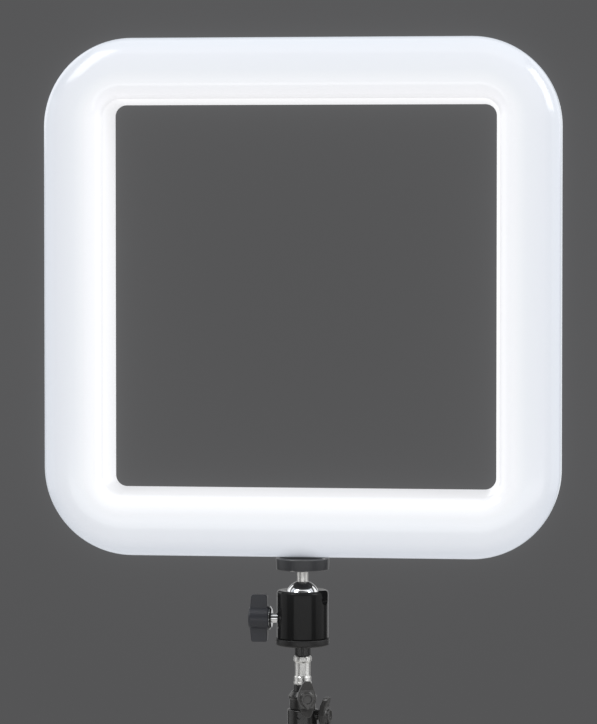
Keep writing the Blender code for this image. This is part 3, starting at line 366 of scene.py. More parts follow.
def knob_place(joint, origin=Vector(), unit=1):
    """A turning knob's frame, its Z axis along the joint's, from origin in metres or another unit."""
    return outward(JOINTS[joint]["axis"], (pivot(joint) - origin) / unit)


def at(origin):
    """A frame at origin, along the part's axes."""
    return Matrix.Translation(origin)


def helper(bm):
    """A short-lived object for modifiers to work on."""
    bmesh.ops.recalc_face_normals(bm, faces=bm.faces)
    return new_object("helper", mesh_of(bm, "helper"))


def baked(obj, tools=()):
    """The object's shape after its modifiers. The object and its tools are removed."""
    result = bmesh.new()
    result.from_object(obj, bpy.context.evaluated_depsgraph_get())
    for each in (obj, *tools):
        mesh = each.data
        bpy.data.objects.remove(each)
        bpy.data.meshes.remove(mesh)
    return result


def combined(bm, shapes, operation):
    """bm with shapes added or taken away."""
    obj = helper(bm)
    tools = [helper(shape) for shape in shapes]
    for tool in tools:
        boolean = obj.modifiers.new("Boolean", "BOOLEAN")
        boolean.operation = operation
        boolean.object = tool
    return baked(obj, tools)


def cut(bm, *shapes):
    """bm with shapes taken away."""
    return combined(bm, shapes, "DIFFERENCE")


def join(bm, *shapes):
    """bm with shapes added."""
    return combined(bm, shapes, "UNION")


def moulded(bm, voxel, passes):
    """bm as one even skin, its edges and inner corners softened as in a moulding."""
    obj = helper(bm)
    skin = obj.modifiers.new("Remesh", "REMESH")
    skin.mode = "VOXEL"
    skin.voxel_size = voxel
    soften = obj.modifiers.new("Smooth", "SMOOTH")
    soften.factor = 0.5
    soften.iterations = passes
    return baked(obj)


def piece(name, bm, finish, body, slot, place, *nodes):
    """One sub-part: sets bm in the part's frame, rides it on its body and hides the nodes it stands for."""
    bmesh.ops.recalc_face_normals(bm, faces=bm.faces)
    mesh = mesh_of(bm, name)
    mesh.transform(place.to_3x3().to_4x4() @ Matrix.Scale(MM, 4))
    mesh.shade_smooth()
    mesh.set_sharp_from_angle(angle=SMOOTH_ANGLE)
    mesh.materials.append(FINISHES[finish])
    obj = new_object(name, mesh)
    obj.matrix_world = at(place.translation)
    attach(obj, body)
    if nodes:
        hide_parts(*nodes)


# Materials


def fill(tree, target, inputs):
    """Sets a node's inputs, each to a value or to another node's output."""
    for name, value in inputs.items():
        if isinstance(value, bpy.types.NodeSocket):
            tree.links.new(value, target.inputs[name])
        else:
            target.inputs[name].default_value = value


def new_node(tree, kind, inputs=None, **settings):
    """A new node with its settings and its inputs."""
    made = tree.nodes.new(kind)
    for name, value in settings.items():
        setattr(made, name, value)
    fill(tree, made, inputs or {})
    return made


def material(name, colour, roughness, metallic=0.0, specular=0.5):
    """A Principled material. Gives it with its node tree and its shader."""
    made = bpy.data.materials.new(name)
    made.use_nodes = True
    tree = made.node_tree
    shader = tree.nodes["Principled BSDF"]
    look = {"Base Color": (*colour, 1), "Roughness": roughness, "Metallic": metallic}
    fill(tree, shader, look | {"Specular IOR Level": specular})
    return made, tree, shader


def own_place(tree):
    """A piece's own coordinates."""
    return new_node(tree, "ShaderNodeTexCoord").outputs["Object"]


def noise(tree, scale, stretch=(1, 1, 1)):
    """A noise pattern over the piece's own coordinates, its scale in waves per metre."""
    place = new_node(tree, "ShaderNodeMapping", {"Vector": own_place(tree), "Scale": stretch})
    inputs = {"Vector": place.outputs["Vector"], "Scale": scale, "Detail": 3.0}
    return new_node(tree, "ShaderNodeTexNoise", inputs).outputs["Fac"]


def distance_from(tree, point):
    """How far the piece's own coordinates are from a point, in metres."""
    inputs = {0: own_place(tree), 1: point}
    return new_node(tree, "ShaderNodeVectorMath", inputs, operation="DISTANCE").outputs["Value"]


def mapped(tree, value, start=0.0, end=1.0, first=0.0, last=1.0, easing="LINEAR"):
    """A value that goes from first to last while another goes from start to end."""
    inputs = {"Value": value, "From Min": start, "From Max": end, "To Min": first, "To Max": last}
    return new_node(tree, "ShaderNodeMapRange", inputs, interpolation_type=easing).outputs["Result"]


def ramp(tree, value, stops):
    """A colour that follows a value through (position, colour) stops."""
    scale = new_node(tree, "ShaderNodeValToRGB", {"Fac": value})
    elements = scale.color_ramp.elements
    while len(elements) < len(stops):
        elements.new(0.5)
    for element, (position, colour) in zip(elements, stops):
        element.position = position
        element.color = (*colour, 1)
    return scale.outputs["Color"]


def grained(tree, pattern, colour, spread):
    """A colour that a pattern makes a little darker and lighter."""
    dark, light = (tuple(part * (1 + sign * spread) for part in colour) for sign in (-1, 1))
    return ramp(tree, pattern, [(GRAIN_LOW, dark), (GRAIN_HIGH, light)])


def rub_edges_and_paint_highlight(tree, look, wear_and_sheen):
    """Turns a look to a lighter metal along the raised edges: wear, and a painted highlight along them."""
    pointed = new_node(tree, "ShaderNodeNewGeometry").outputs["Pointiness"]
    edge = mapped(tree, pointed, EDGE_START, EDGE_FULL)
    mix = new_node(tree, "ShaderNodeMix", {"Factor": edge}, data_type="RGBA")
    finish, metal = (socket for socket in mix.inputs if socket.type == "RGBA")
    tree.links.new(look["Base Color"], finish)
    metal.default_value = (*wear_and_sheen, 1)
    look["Base Color"] = next(socket for socket in mix.outputs if socket.type == "RGBA")
    look["Metallic"] = edge


def surface(name, colour, roughness, metallic=0.0, specular=0.5, grain=1200, relief=0.02,
            spread=0.12, stretch=(1, 1, 1), turning=0.0, wear_and_sheen=None):
    """A surface with a fine grain in its colour, its gloss and its relief, which is in millimetres.

    Turning marks draw its gloss upright. Where an edge metal is given, its raised edges turn to that metal,
    which is wear and also a painted highlight.
    """
    made, tree, shader = material(name, colour, roughness, metallic, specular)
    pattern = noise(tree, grain, stretch)
    smooth, rough = roughness * (1 - GLOSS_SPREAD), roughness * (1 + GLOSS_SPREAD)
    bump = new_node(tree, "ShaderNodeBump", {"Height": pattern, "Distance": relief * MM})
    look = {"Base Color": grained(tree, pattern, colour, spread), "Normal": bump.outputs["Normal"]}
    look |= {"Roughness": mapped(tree, pattern, first=smooth, last=rough)}
    look |= {"Anisotropic": turning, "Anisotropic Rotation": QUARTER_TURN}
    if wear_and_sheen:
        rub_edges_and_paint_highlight(tree, look, wear_and_sheen)
    fill(tree, shader, look)
    return made


def painted_socket_shade(tree):
    """Painted shade: the share of the glow left round the tripod socket, which stands inside the lower bar.
    It paints the platform's shadow and dark reflection on the bar as well as the light that the socket holds
    back.
    """
    distance = distance_from(tree, (0, BALL.y - FRAME_MIDDLE.y, -FRAME_SIZE / 2 * MM))
    return mapped(tree, distance, SHADE_NEAR * MM, SHADE_FAR * MM, first=SHADE_LEAST, easing="SMOOTHSTEP")


def milk_acrylic():
    """The lit front: brightest near the hole, cooler and weaker towards the outer edge."""
    made, tree, shader = material("milk_acrylic", (0.4, 0.41, 0.43), roughness=0.14)
    across = new_node(tree, "ShaderNodeAttribute", attribute_name="across").outputs["Fac"]
    # The glow is scaled down by the painted shade round the tripod socket.
    light = {0: ramp(tree, across, GLOW_STOPS), "Scale": painted_socket_shade(tree)}
    glow = new_node(tree, "ShaderNodeVectorMath", light, operation="SCALE").outputs["Vector"]
    gloss = mapped(tree, noise(tree, scale=300), first=0.12, last=0.17)
    fill(tree, shader, {"Emission Color": glow, "Emission Strength": 1.0, "Roughness": gloss})
    return made


def led_board_white():
    """White solder mask, spotted with the yellow of LED chips."""
    mask, chip = (0.82, 0.82, 0.8), (0.78, 0.7, 0.42)
    made, tree, shader = material("led_board_white", mask, roughness=0.45)
    fill(tree, shader, {"Base Color": ramp(tree, noise(tree, scale=90), [(0.45, mask), (0.55, chip)])})
    return made


FINISHES = {
    "milk": milk_acrylic(),
    "housing": surface("textured_abs", (0.021, 0.021, 0.023), 0.5, grain=1600, relief=0.05),
    "white": surface("reflector_white", (0.86, 0.86, 0.85), 0.6, grain=400),
    "board": led_board_white(),
    "pcb": surface("circuit_green", (0.03, 0.16, 0.06), 0.4, grain=500, spread=0.4),
    "knob": surface("slate_plastic", (0.034, 0.036, 0.045), 0.4, relief=0.03),
    # Painted highlight: the platform's raised rims turn to a lighter metal, as wear and as highlights on
    # them.
    "slate": surface("slate_anodised", (0.036, 0.037, 0.041), 0.32, specular=0.3, grain=2500,
                     relief=0.008, wear_and_sheen=(0.5, 0.5, 0.5)),
    "satin": surface("satin_black", (0.015, 0.015, 0.015), 0.4, 0.2, grain=2500, relief=0.008),
    "gloss": surface("gloss_black", (0.009, 0.009, 0.009), 0.16, specular=0.13, grain=900,
                     relief=0.004),
    "plastic": surface("clamp_black", (0.02, 0.0195, 0.019), 0.24, relief=0.03),
    "wing": surface("wing_plastic", (0.052, 0.051, 0.05), 0.24),
    "paint": surface("tube_paint", (0.014, 0.014, 0.015), 0.28, grain=700, relief=0.01),
    "chrome": surface("chrome", (0.86, 0.87, 0.88), 0.07, METAL, grain=600, relief=0.001, spread=0.03),
    "steel": surface("zinc_steel", (0.62, 0.61, 0.58), 0.28, METAL, grain=1500, relief=0.005,
                     spread=0.08),
    "stem": surface("brushed_stem", (0.95, 0.94, 0.91), 0.34, 0.9, grain=1500, relief=0.001,
                    stretch=(0.2, 0.2, 3), turning=0.3),
    "aluminium": surface("turned_aluminium", (0.9, 0.9, 0.88), 0.36, METAL, grain=900, relief=0.0008,
                         spread=0.05, stretch=(0.15, 0.15, 4), turning=0.8),
    "brass": surface("brass", (0.72, 0.53, 0.26), 0.28, METAL, grain=1500, relief=0.004),
    "rubber": surface("rubber", (0.019, 0.019, 0.02), 0.75, relief=0.06),
    "print": surface("white_print", (0.75, 0.75, 0.74), 0.55, relief=0.004, spread=0.04),
}


# Light frame


def square_ring(profile):
    """Sweeps (distance out from the hole, depth from the front) points round the square.

    The corner radius grows from the hole to the outer edge.
    """
    bm = bmesh.new()
    share = bm.verts.layers.float.new("across")
    loops = []
    for across, depth in profile:
        radius = INNER_CORNER + (OUTER_CORNER - INNER_CORNER) * across / RING
        centre = HOLE_HALF + across - radius
        loop = []
        for quarter in range(4):
            turn = math.pi / 2 * (quarter + 0.5)
            x, z = math.copysign(centre, math.cos(turn)), math.copysign(centre, math.sin(turn))
            start = 90 * quarter
            for point in arc((x, z), radius, start, start + 90, CORNER_STEPS):
                vert = bm.verts.new((point[0], depth - FRAME_DEPTH / 2, point[1]))
                vert[share] = across / RING
                loop.append(vert)
        loops.append(loop)
    count = len(loops[0])
    for first, second in zip(loops, loops[1:] + loops[:1]):
        for i in range(count):
            j = (i + 1) % count
            bm.faces.new((first[i], first[j], second[j], second[i]))
    return bm


def inner_wall(depth):
    """The hole narrows from front to back, so its glowing wall shows all round."""
    return INNER_DRAFT * (1 - depth / FRAME_DEPTH)


def diffuser_skin(move):
    """The diffuser's section, from the hole's wall round the front to the outer wall, moved in."""
    edge = INNER_EDGE - move
    edge_middle = (inner_wall(INNER_EDGE) + INNER_EDGE, INNER_EDGE)
    width, depth = RING - CURVE_START - move, CURVE_DEPTH - move
    skin = [(inner_wall(INNER_END) + move, INNER_END)]
    skin += arc(edge_middle, edge, 180, 270, INNER_EDGE_STEPS)
    skin += arc((CURVE_START, CURVE_DEPTH), width, -90, 0, CURVE_STEPS, depth)
    skin.append((RING - move, PARTING))
    return skin


def rear_section():
    """The rear housing's section: a back plate and an outer wall, with lips that reach into the diffuser."""
    out, start, floor = RING - REAR_STEP, PARTING + GAP, FRAME_DEPTH - WALL
    lip_in, lip_out = WALL + REAR_STEP, RING - WALL - GAP
    lip_end, rim, wall = floor - LIP_REACH, start - LIP_REACH, lip_out - LIP
    section = [(out, start, 0.4), (out, FRAME_DEPTH, REAR_EDGE), (REAR_START, FRAME_DEPTH, 1.5)]
    section += [(REAR_START, floor, 0), (lip_in, floor, 0), (lip_in, lip_end, 0.3)]
    section += [(lip_in + LIP, lip_end, 0.3), (lip_in + LIP, floor, 0), (wall, floor, 5)]
    section += [(wall, rim, 0.3), (lip_out, rim, 0.3), (lip_out, start, 0)]
    return rounded(section, steps=8)


def bottom_hole():
    """A cutter through the lower bar for the tripod socket."""
    half, below, above = FRAME_SIZE / 2, 5, 15
    depth = (BALL.y - FRAME_MIDDLE.y) / MM
    return moved(bar(SOCKET_RADIUS + GAP, -half - below, -half + above, sides=64), at((0, depth, 0)))


def back_place(x, z, unit=1):
    """The frame of something on the back, x and z from the light's middle: Z runs out of it and Y up."""
    return outward((0, 1, 0), Vector((x, FRAME_DEPTH / 2, z)) * unit)


def vents():
    """Round-ended slots through the back of the top bar and the two side bars."""
    outline = rectangle(*VENT_HALF, VENT_HALF[0])
    reach = 5
    slots = []
    for turn in (0, math.pi / 2, -math.pi / 2):
        for i in range(VENT_COUNT):
            x = (i - (VENT_COUNT - 1) / 2) * VENT_PITCH
            slot = moved(slab(outline, -reach, reach), back_place(x, HOLE_HALF + REAR_FLAT))
            slots.append(moved(slot, Matrix.Rotation(turn, 4, "Y")))
    return together(slots)


def from_middle(node):
    """Where a control sits on the back, as (x, z) from the light's middle in millimetres."""
    point = (middle(node) - FRAME_MIDDLE) / MM
    return point.x, point.z


def screw_hole():
    """A cutter for a housing screw: its shank, the seat of its head and a chamfer at the mouth."""
    shank, head, seat = SCREW_SHANK + GAP, SCREW_HEAD + GAP, -SCREW_HEAD_HEIGHT - GAP
    mouth, chamfer = 4, 0.35
    step = [(0, -THROUGH), (shank, -THROUGH), (shank, seat), (head, seat), (head, -chamfer)]
    return turned(step + [(mouth, chamfer), (mouth, THROUGH), (0, THROUGH)], SMALL_SIDES)


def panel_holes():
    """Cutters for the control shafts, the switch, the power inlet and the housing screws."""
    width, height = SWITCH_HALF
    cutters = {"power_inlet": bar(INLET_RADIUS + GAP, -THROUGH, THROUGH)}
    for kind in DIALS:
        cutters[f"{kind}_knob"] = bar(DIAL_SHAFT + 2 * GAP, -THROUGH, THROUGH)
    cutters["switch_bezel"] = slab(rectangle(width + GAP, height + GAP, 0.6), -THROUGH, THROUGH)
    for number in range(1, 5):
        cutters[f"housing_screw_{number}"] = screw_hole()
    return together([moved(hole, back_place(*from_middle(node))) for node, hole in cutters.items()])


def build_shells():
    """The glowing front and the black back housing."""
    place = at(FRAME_MIDDLE)
    skin = square_ring(diffuser_skin(0) + diffuser_skin(WALL)[::-1])
    shell = cut(skin, bottom_hole())
    piece("diffuser_shell", shell, "milk", "light_head", "milk_diffuser", place, "front_diffuser")
    shell = cut(square_ring(rear_section()), bottom_hole(), vents(), panel_holes())
    piece("back_shell", shell, "housing", "light_head", "black_housing", place, "rear_housing")


# Controls and screws on the back


def on_back(node):
    """The place, in the part's frame, of something on the back."""
    return at(FRAME_MIDDLE) @ back_place(*from_middle(node), MM)


def cross_screw():
    """A screw with a low head and a cross recess, its top level with the back."""
    under, rim, crown, recess_depth = -SCREW_HEAD_HEIGHT, -0.4, 2.2, 0.9
    profile = [(0, -SCREW_LENGTH, 0), (SCREW_SHANK, -SCREW_LENGTH, 0.4), (SCREW_SHANK, under, 0)]
    profile += [(SCREW_HEAD, under, 0.1), (SCREW_HEAD, rim, 0.4), (crown, 0, 0.6), (0, 0, 0)]
    screw = lathe(profile, SMALL_SIDES, steps=4)
    halves = (SCREW_SLOT_HALF, SCREW_SLOT_HALF[::-1])
    return cut(screw, *[slab(rectangle(*half, 0.15), -recess_depth, 1) for half in halves])


def build_screws():
    """Four cross-recessed screws in the back."""
    for number in range(1, 5):
        node = f"housing_screw_{number}"
        piece(f"back_screw_{number}", cross_screw(), "steel", "light_head", "zinc_steel", on_back(node), node)


def dial_scale():
    """The marks printed round a dial, longer at both ends and in the middle."""
    half_width, short, long, distance, bottom, top = 0.2, 0.7, 1.1, 2, 0.005, 0.06
    marks = []
    for i in range(SCALE_MARKS):
        turn = SCALE_END * (2 * i / (SCALE_MARKS - 1) - 1)
        half = long if i % (SCALE_MARKS // 2) == 0 else short
        outline = rectangle(half_width, half, 0.1, (0, DIAL_RADIUS + distance + half))
        marks.append(moved(slab(outline, bottom, top), Matrix.Rotation(turn, 4, "Z")))
    return together(marks)


def dial_knob():
    """A fluted knob on its shaft, with a groove for the pointer."""
    crown, flute_depth, shaft_end = DIAL_RADIUS - 0.5, 0.5, -8.5
    groove_half, groove_middle, groove_depth = (0.6, 3.5), (0, 5.5), 0.8
    profile = [(0, GAP, 0), (DIAL_RADIUS, GAP, 0.5), (crown, DIAL_HEIGHT, 0.9), (0, DIAL_HEIGHT, 0)]
    grip = lathe(profile, 12 * DIAL_FLUTES, flutes=DIAL_FLUTES, flute_depth=flute_depth)
    knob = join(grip, bar(DIAL_SHAFT, shaft_end, DIAL_HEIGHT / 2))
    groove = rectangle(*groove_half, 0.2, groove_middle)
    return cut(knob, slab(groove, DIAL_HEIGHT - groove_depth, DIAL_HEIGHT + 1))


def dial_pointer():
    """The white line in the knob's groove."""
    half, centre, low, high = (0.5, 2.6), (0, 4.8), DIAL_HEIGHT - 0.7, DIAL_HEIGHT - 0.1
    return slab(rectangle(*half, 0.15, centre), low, high, 0.1)


def build_dial(kind):
    """A fluted knob with a white pointer, turned fully up at rest, and a printed scale round it."""
    node, body = f"{kind}_knob", f"{kind}_dial"
    place = on_back(node)
    full = place @ Matrix.Rotation(-SCALE_END, 4, "Z")
    piece(f"{kind}_cap", dial_knob(), "knob", body, "knob_plastic", full, node)
    piece(f"{kind}_pointer", dial_pointer(), "print", body, "white_reflector", full)
    piece(f"{kind}_scale", dial_scale(), "print", "light_head", "white_reflector", place)


def rocker_marks():
    """A stroke and a ring for on and off, printed on the rocker's dished face."""
    offset, thick, inner, outer = 4.6, 0.12, 1.2, 1.7
    stroke = slab(rectangle(0.3, 1.3, 0.1), 0, thick)
    ring = turned([(inner, 0), (outer, 0), (outer, thick), (inner, thick)], SMALL_SIDES)
    for mark, y in ((stroke, offset), (ring, -offset)):
        lean = math.asin(y / DISH_RADIUS)
        level = DISH_HEIGHT - DISH_RADIUS * math.cos(lean)
        moved(mark, at((0, y, level)) @ Matrix.Rotation(lean, 4, "X"))
    return together([stroke, ring])


def build_switch():
    """The power rocker in its bezel, with its on and off marks."""
    place = on_back("switch_bezel")
    rim_half, window_half, end, floor, face = (8.5, 12), (5.5, 8.7), -8, -7, 1.6
    bezel = join(slab(rectangle(*SWITCH_HALF, 0.5), end, 1), slab(rectangle(*rim_half, 1), GAP, face, 0.5))
    bezel = cut(bezel, slab(rectangle(*window_half, 0.4), floor, -end))
    piece("rocker_bezel", bezel, "knob", "light_head", "knob_plastic", place, "switch_bezel")

    tilt = place @ Matrix.Rotation(ROCKER_LEAN, 4, "X")
    half_width, half_length, belly, sweep = 5, 7.9, 6.3, 24
    dish = arc((0, DISH_HEIGHT), DISH_RADIUS, -90 - sweep, -90 + sweep, 16)
    outline = dish + arc((0, 0), half_length, 0, -180, 16, belly)
    rocker = sideways(slab(outline[::-1], -half_width, half_width, 0.4))
    piece("rocker", rocker, "plastic", "power_switch", "knob_plastic", tilt, "power_rocker")
    piece("rocker_marks", rocker_marks(), "print", "power_switch", "white_reflector", tilt)


def build_inlet():
    """The round power inlet and its centre pin."""
    place = on_back("power_inlet")
    end, floor, face, flange, bore, pin = -11, -9, 1.4, 6.2, 2.9, 0.9
    profile = [(0, end, 0), (INLET_RADIUS, end, 0.3), (INLET_RADIUS, GAP, 0), (flange, GAP, 0)]
    profile += [(flange, face, 0.6), (bore, face, 0.4), (bore, floor, 0), (0, floor, 0)]
    piece("inlet_body", lathe(profile), "plastic", "light_head", "knob_plastic", place, "power_inlet")
    contact = bar(pin, floor, 0, 0.4, sides=32)
    piece("inlet_pin", contact, "chrome", "light_head", "zinc_steel", place)


# Ball head


def build_platform():
    """The disc under the light."""
    low, high = heights("platform_disc", BALL)
    floor = heights("platform_pad", BALL)[0] - GAP
    radius, recess = size("platform_disc").x / 2, size("platform_pad").x / 2 + GAP
    bore, draft = STUD + GAP, 0.4
    profile = [(bore, low, 0.2), (radius - draft, low, 0.9), (radius, high, 1.2), (recess, high, 0.3)]
    disc = lathe(profile + [(recess, floor, 0), (bore, floor, 0)], FINE_SIDES)
    piece("platform", disc, "slate", "light_head", "black_anodised", at(BALL), "platform_disc")


def build_ball():
    """The polished ball and its brushed stem, turned from one bar."""
    top = heights("ball_and_stem", BALL)[1]
    shoulder = heights("platform_disc", BALL)[0] - GAP
    foot = math.degrees(math.acos(STEM / BALL_RADIUS))
    profile = [(0, -BALL_RADIUS)] + arc((0, 0), BALL_RADIUS, -88, foot, 60)
    crown = profile[-1][1]
    lap = crown + 0.1
    ball = turned(profile + [(STEM - 0.4, lap), (0, lap)])
    piece("polished_ball", ball, "chrome", "ball", "chrome_plate", at(BALL), "ball_and_stem")
    profile = [(0, crown, 0), (STEM, crown, 0), (STEM, shoulder, 0.2), (STUD, shoulder, 0)]
    stem = lathe(profile + [(STUD, top, 0.6), (0, top, 0)])
    piece("stem", stem, "stem", "ball", "chrome_plate", at(BALL), "ball_and_stem")


def build_cup():
    """The cup that holds the ball, notched so that the stem can lie over, and drilled for the lock screw."""
    low, rim = heights("ball_cup", BALL)
    radius, bore, floor, lip, edge, reach = size("ball_cup").x / 2, 7.3, -23.4, 4.9, 2, 30
    lip_angle = math.degrees(math.asin(lip / SEAT_RADIUS))
    profile = rounded([(bore, low, 0), (radius, low, 0.6), (radius, 0, 0)], closed=False)
    profile += arc((radius - edge, rim - edge), edge, 0, 90, 12)
    profile += arc((0, 0), SEAT_RADIUS, lip_angle, 0, 8)
    cup = turned(profile + [(SEAT_RADIUS, floor), (bore, floor)], FINE_SIDES)

    half, notch_start, notch_top = NOTCH_HALF, 4, 12
    notch = rounded([(-half, -half, half), (half, -half, half), (half, notch_top, 0), (-half, notch_top, 0)],
                    steps=16)
    along = outward((math.cos(NOTCH_AZIMUTH), math.sin(NOTCH_AZIMUTH), 0), (0, 0, 0))
    drill = moved(bar(LOCK_SCREW + GAP, LOCK_SCREW_START, reach), knob_place("ball_lock_turn", BALL, MM))
    cup = cut(cup, moved(slab(notch, notch_start, reach), along), drill)
    piece("cup", cup, "gloss", "ball_housing", "black_anodised", at(BALL), "ball_cup")


def build_base():
    """The base that the cup turns on."""
    bottom, hub_top = heights("pan_base", BALL)
    top = heights("ball_cup", BALL)[0] - GAP
    radius, bore, hub = size("pan_base").x / 2, STUD + GAP, 7
    profile = [(bore, bottom, 0.2), (radius, bottom, 1.6), (radius, top, 0.35), (hub, top, 0)]
    base = lathe(profile + [(hub, hub_top, 0.3), (bore, hub_top, 0)], FINE_SIDES)
    piece("turning_base", base, "satin", "riser_section", "black_anodised", at(BALL), "pan_base")


def lock_grip(back):
    """The lock knob's round core and its two wings, from its back along the lock's axis."""
    face, core, half_wing, span = back + 14.1, 7.8, 3.6, 16
    profile = [(0, back, 0), (core, back, 1), (core, face - 0.2, 1.4), (0, face, 0)]
    half = [(0, face - 0.4, 0), (span - 1, face - 1.9, 0.9), (span, face - 2.7, 0.6)]
    half += [(span, back + 2.1, 0.6), (span - 1, back + 1.4, 0.9), (0, back + 1, 0)]
    outline = rounded(half + [(-y, z, edge) for y, z, edge in half[-2:0:-1]])
    wings = sideways(slab(outline[::-1], -half_wing, half_wing, 0.4))
    return moulded(join(lathe(profile), wings), **FINE_MOULD)


def build_lock():
    """The two-winged lock knob, its screw and its washer."""
    place = knob_place("ball_lock_turn")
    back, depth = 22.6, 7.5
    knob = cut(lock_grip(back), bar(LOCK_SCREW + GAP, back - 1, back + depth + GAP))
    piece("lock_wings", knob, "knob", "ball_lock", "knob_plastic", place, "lock_knob")
    screw = bar(LOCK_SCREW, LOCK_SCREW_START, back + depth, 1)
    piece("lock_pin", screw, "chrome", "ball_lock", "zinc_steel", place, "lock_screw")

    bore, neck, rim, high = LOCK_SCREW + GAP, 6.3, 8.3, back - GAP
    low = high - 1.4
    washer = lathe([(bore, low, 0.2), (neck, low, 0.5), (rim, high, 0.12), (bore, high, 0.2)])
    piece("lock_ring", washer, "chrome", "ball_lock", "zinc_steel", place, "lock_washer")


# Column, heights from the floor


def adapter():
    """The fluted thread adapter with a stud at each end."""
    low, high = heights("thread_adapter")
    radius, stud_length, lower_stud, flutes = size("thread_adapter").x / 2, 8, 2.8, 32
    neck_low, neck_high = low + stud_length, high - stud_length
    profile = [(0, neck_low, 0), (radius, neck_low, 0.4), (radius, neck_high, 0.4), (0, neck_high, 0)]
    neck = lathe(profile, 6 * flutes, flutes=flutes, flute_depth=0.22)
    return join(neck, bar(lower_stud, low, neck_low + 1, 0.4), bar(STUD, neck_high - 1, high, 0.4))


def spigot():
    """The turned spigot: a bored top flange, a waist, a collar and a shank in the riser."""
    end, top = heights("spigot")
    bore, bore_end, body, flange, waist, ridge, shank = 3.1, top - 9, 5.75, 6.2, 5.2, 6.1, 4.7
    drops = [(body, 0, 0.3), (body, 0.6, 0), (flange, 0.6, 0.5), (flange, 3.2, 0.6), (waist, 4.4, 1)]
    drops += [(waist, 13.4, 0.3), (body, 14.2, 0.3), (body, 17.6, 0.2), (ridge, 17.6, 0.35)]
    drops += [(ridge, 19, 0.35), (shank, 19, 0)]
    profile = [(0, bore_end, 0), (bore, bore_end, 0), (bore, top, 0.3)]
    profile += [(radius, top - drop, edge) for radius, drop, edge in drops]
    return lathe(profile + [(shank, end, 0.5), (0, end, 0)])


def build_tube(name, radius, bore, body):
    """One of the column's tubes."""
    node = f"{name}_tube"
    piece(name, tube(radius, bore, *heights(node)), "paint", body, "black_tube_paint", ON_COLUMN, node)


def build_riser():
    """The top section: the threaded adapter, the metal spigot and its tube."""
    body = "riser_section"
    piece("adapter", adapter(), "plastic", body, "black_anodised", ON_COLUMN, "thread_adapter")
    piece("metal_spigot", spigot(), "aluminium", body, "turned_aluminium", ON_COLUMN, "spigot")
    build_tube("riser", RISER_RADIUS, 5, body)


def wing_outline(span, waist, tip):
    """A wing nut's pointed outline."""
    top = [(waist, 0, 1.5), (0.88 * waist, 0.35 * span, 3), (tip, 0.85 * span, 2), (0.55 * tip, span, 1.4)]
    left = [(-x, y, edge) for x, y, edge in top[::-1]]
    upper = top + left
    lower = [(-x, -y, edge) for x, y, edge in upper[1:-1]]
    return rounded(upper + lower)


def wing_grip(face):
    """The wing knob's hub, its swept wings with ribbed sides, and a drop-shaped boss with a round dish."""
    span, waist, tip, thick, sweep = 12.3, 6.4, 3.2, 3.8, 0.35
    hub_foot, hub_head, boss_radius, boss_tail, dish = 5.6, 5.2, 4.4, 6.8, 3
    back, hub_top, boss_top = face + 1, face + 5.4, face + 7
    hub = lathe([(0, face, 0), (hub_foot, face, 0.4), (hub_head, hub_top, 0.8), (0, hub_top, 0)])
    drop = arc((0, 0), boss_radius, -35, 215, 40) + [(-0.5, -boss_tail), (0.5, -boss_tail)]
    boss = slab(drop, face + 4, boss_top, 0.35)
    boss = cut(boss, bar(dish, face + 6.2, boss_top + 1, sides=64))
    knob = join(hub, slab(wing_outline(span, waist, tip), back, back + thick, 0.6), boss)

    rib_radius, rib_pitch, rib_bend, rib_offset = 0.5, 1.5, 0.03, 0.35
    ribs = []
    for side in (-1, 1):
        for i in range(-3, 4):
            y = i * rib_pitch
            x = side * (waist - rib_bend * y * y + rib_offset)
            ribs.append(moved(bar(rib_radius, back - 1, back + thick + 1, sides=16), at((x, y, 0))))
    knob = moulded(cut(knob, together(ribs)), **FINE_MOULD)
    for vert in knob.verts:
        vert.co.z += sweep * max(0.0, abs(vert.co.y) - waist)
    return knob


def build_wing(kind, face, screw_start):
    """A wing knob and its clamping screw."""
    body, depth, place = f"{kind}_wing", 3.5, knob_place(f"{kind}_wing_turn")
    knob = cut(wing_grip(face), bar(CLAMP_SCREW + GAP, face - 1, face + depth + GAP))
    piece(f"{kind}_wings", knob, "wing", body, "knob_plastic", place, f"{kind}_clamp_knob")
    screw = bar(CLAMP_SCREW, screw_start, face + depth, 0.3, SMALL_SIDES)
    piece(f"{kind}_bolt", screw, "steel", body, "zinc_steel", place, f"{kind}_clamp_screw")


def collar(kind, profile, face):
    """A clamp collar turned from profile, with a drilled boss for its screw."""
    boss_radius, boss_start, drill_start, drill_end, drill_sides = 3.4, 8.2, 2, 30, 44
    place = knob_place(f"{kind}_wing_turn", COLUMN, MM)
    boss = bar(boss_radius, boss_start, face - 1.2, 0.3, sides=64)
    body = join(lathe(profile, FINE_SIDES), moved(boss, place))
    drill = bar(CLAMP_SCREW + GAP, drill_start, drill_end, sides=drill_sides)
    return cut(body, moved(drill, place))


def build_upper_clamp():
    """The clamp round the riser with its wing knob, and the middle tube that it sits on."""
    body = "middle_section"
    low, top = heights("upper_clamp")
    stop = heights("middle_tube")[1] + GAP
    bore, mouth, wall, flange, crown = MIDDLE_RADIUS + GAP, RISER_RADIUS + GAP, 8.8, 9.5, 7.3
    profile = [(bore, low, 0.2), (wall, low, 0.4), (wall, top - 5.4, 0.3), (flange, top - 4.6, 0.3)]
    profile += [(flange, top - 3.4, 0.6), (crown, top, 0.5), (mouth, top, 0.2)]
    profile += [(mouth, stop, 0), (bore, stop, 0)]
    clamp = collar("upper", profile, UPPER_FACE)
    piece("upper_collar", clamp, "plastic", body, "clamp_plastic", ON_COLUMN, "upper_clamp")
    build_tube("middle", MIDDLE_RADIUS, 6.8, body)
    build_wing("upper", UPPER_FACE, mouth)


def clamp_recess(top):
    """A cutter for the small round recess in the front of the lower clamp."""
    radius, floor, reach, drop, facing = 1.9, 8.9, 12, 4, (-0.115, -0.993, 0)
    return moved(bar(radius, floor, reach, sides=SMALL_SIDES), outward(facing, (0, 0, top - drop)))


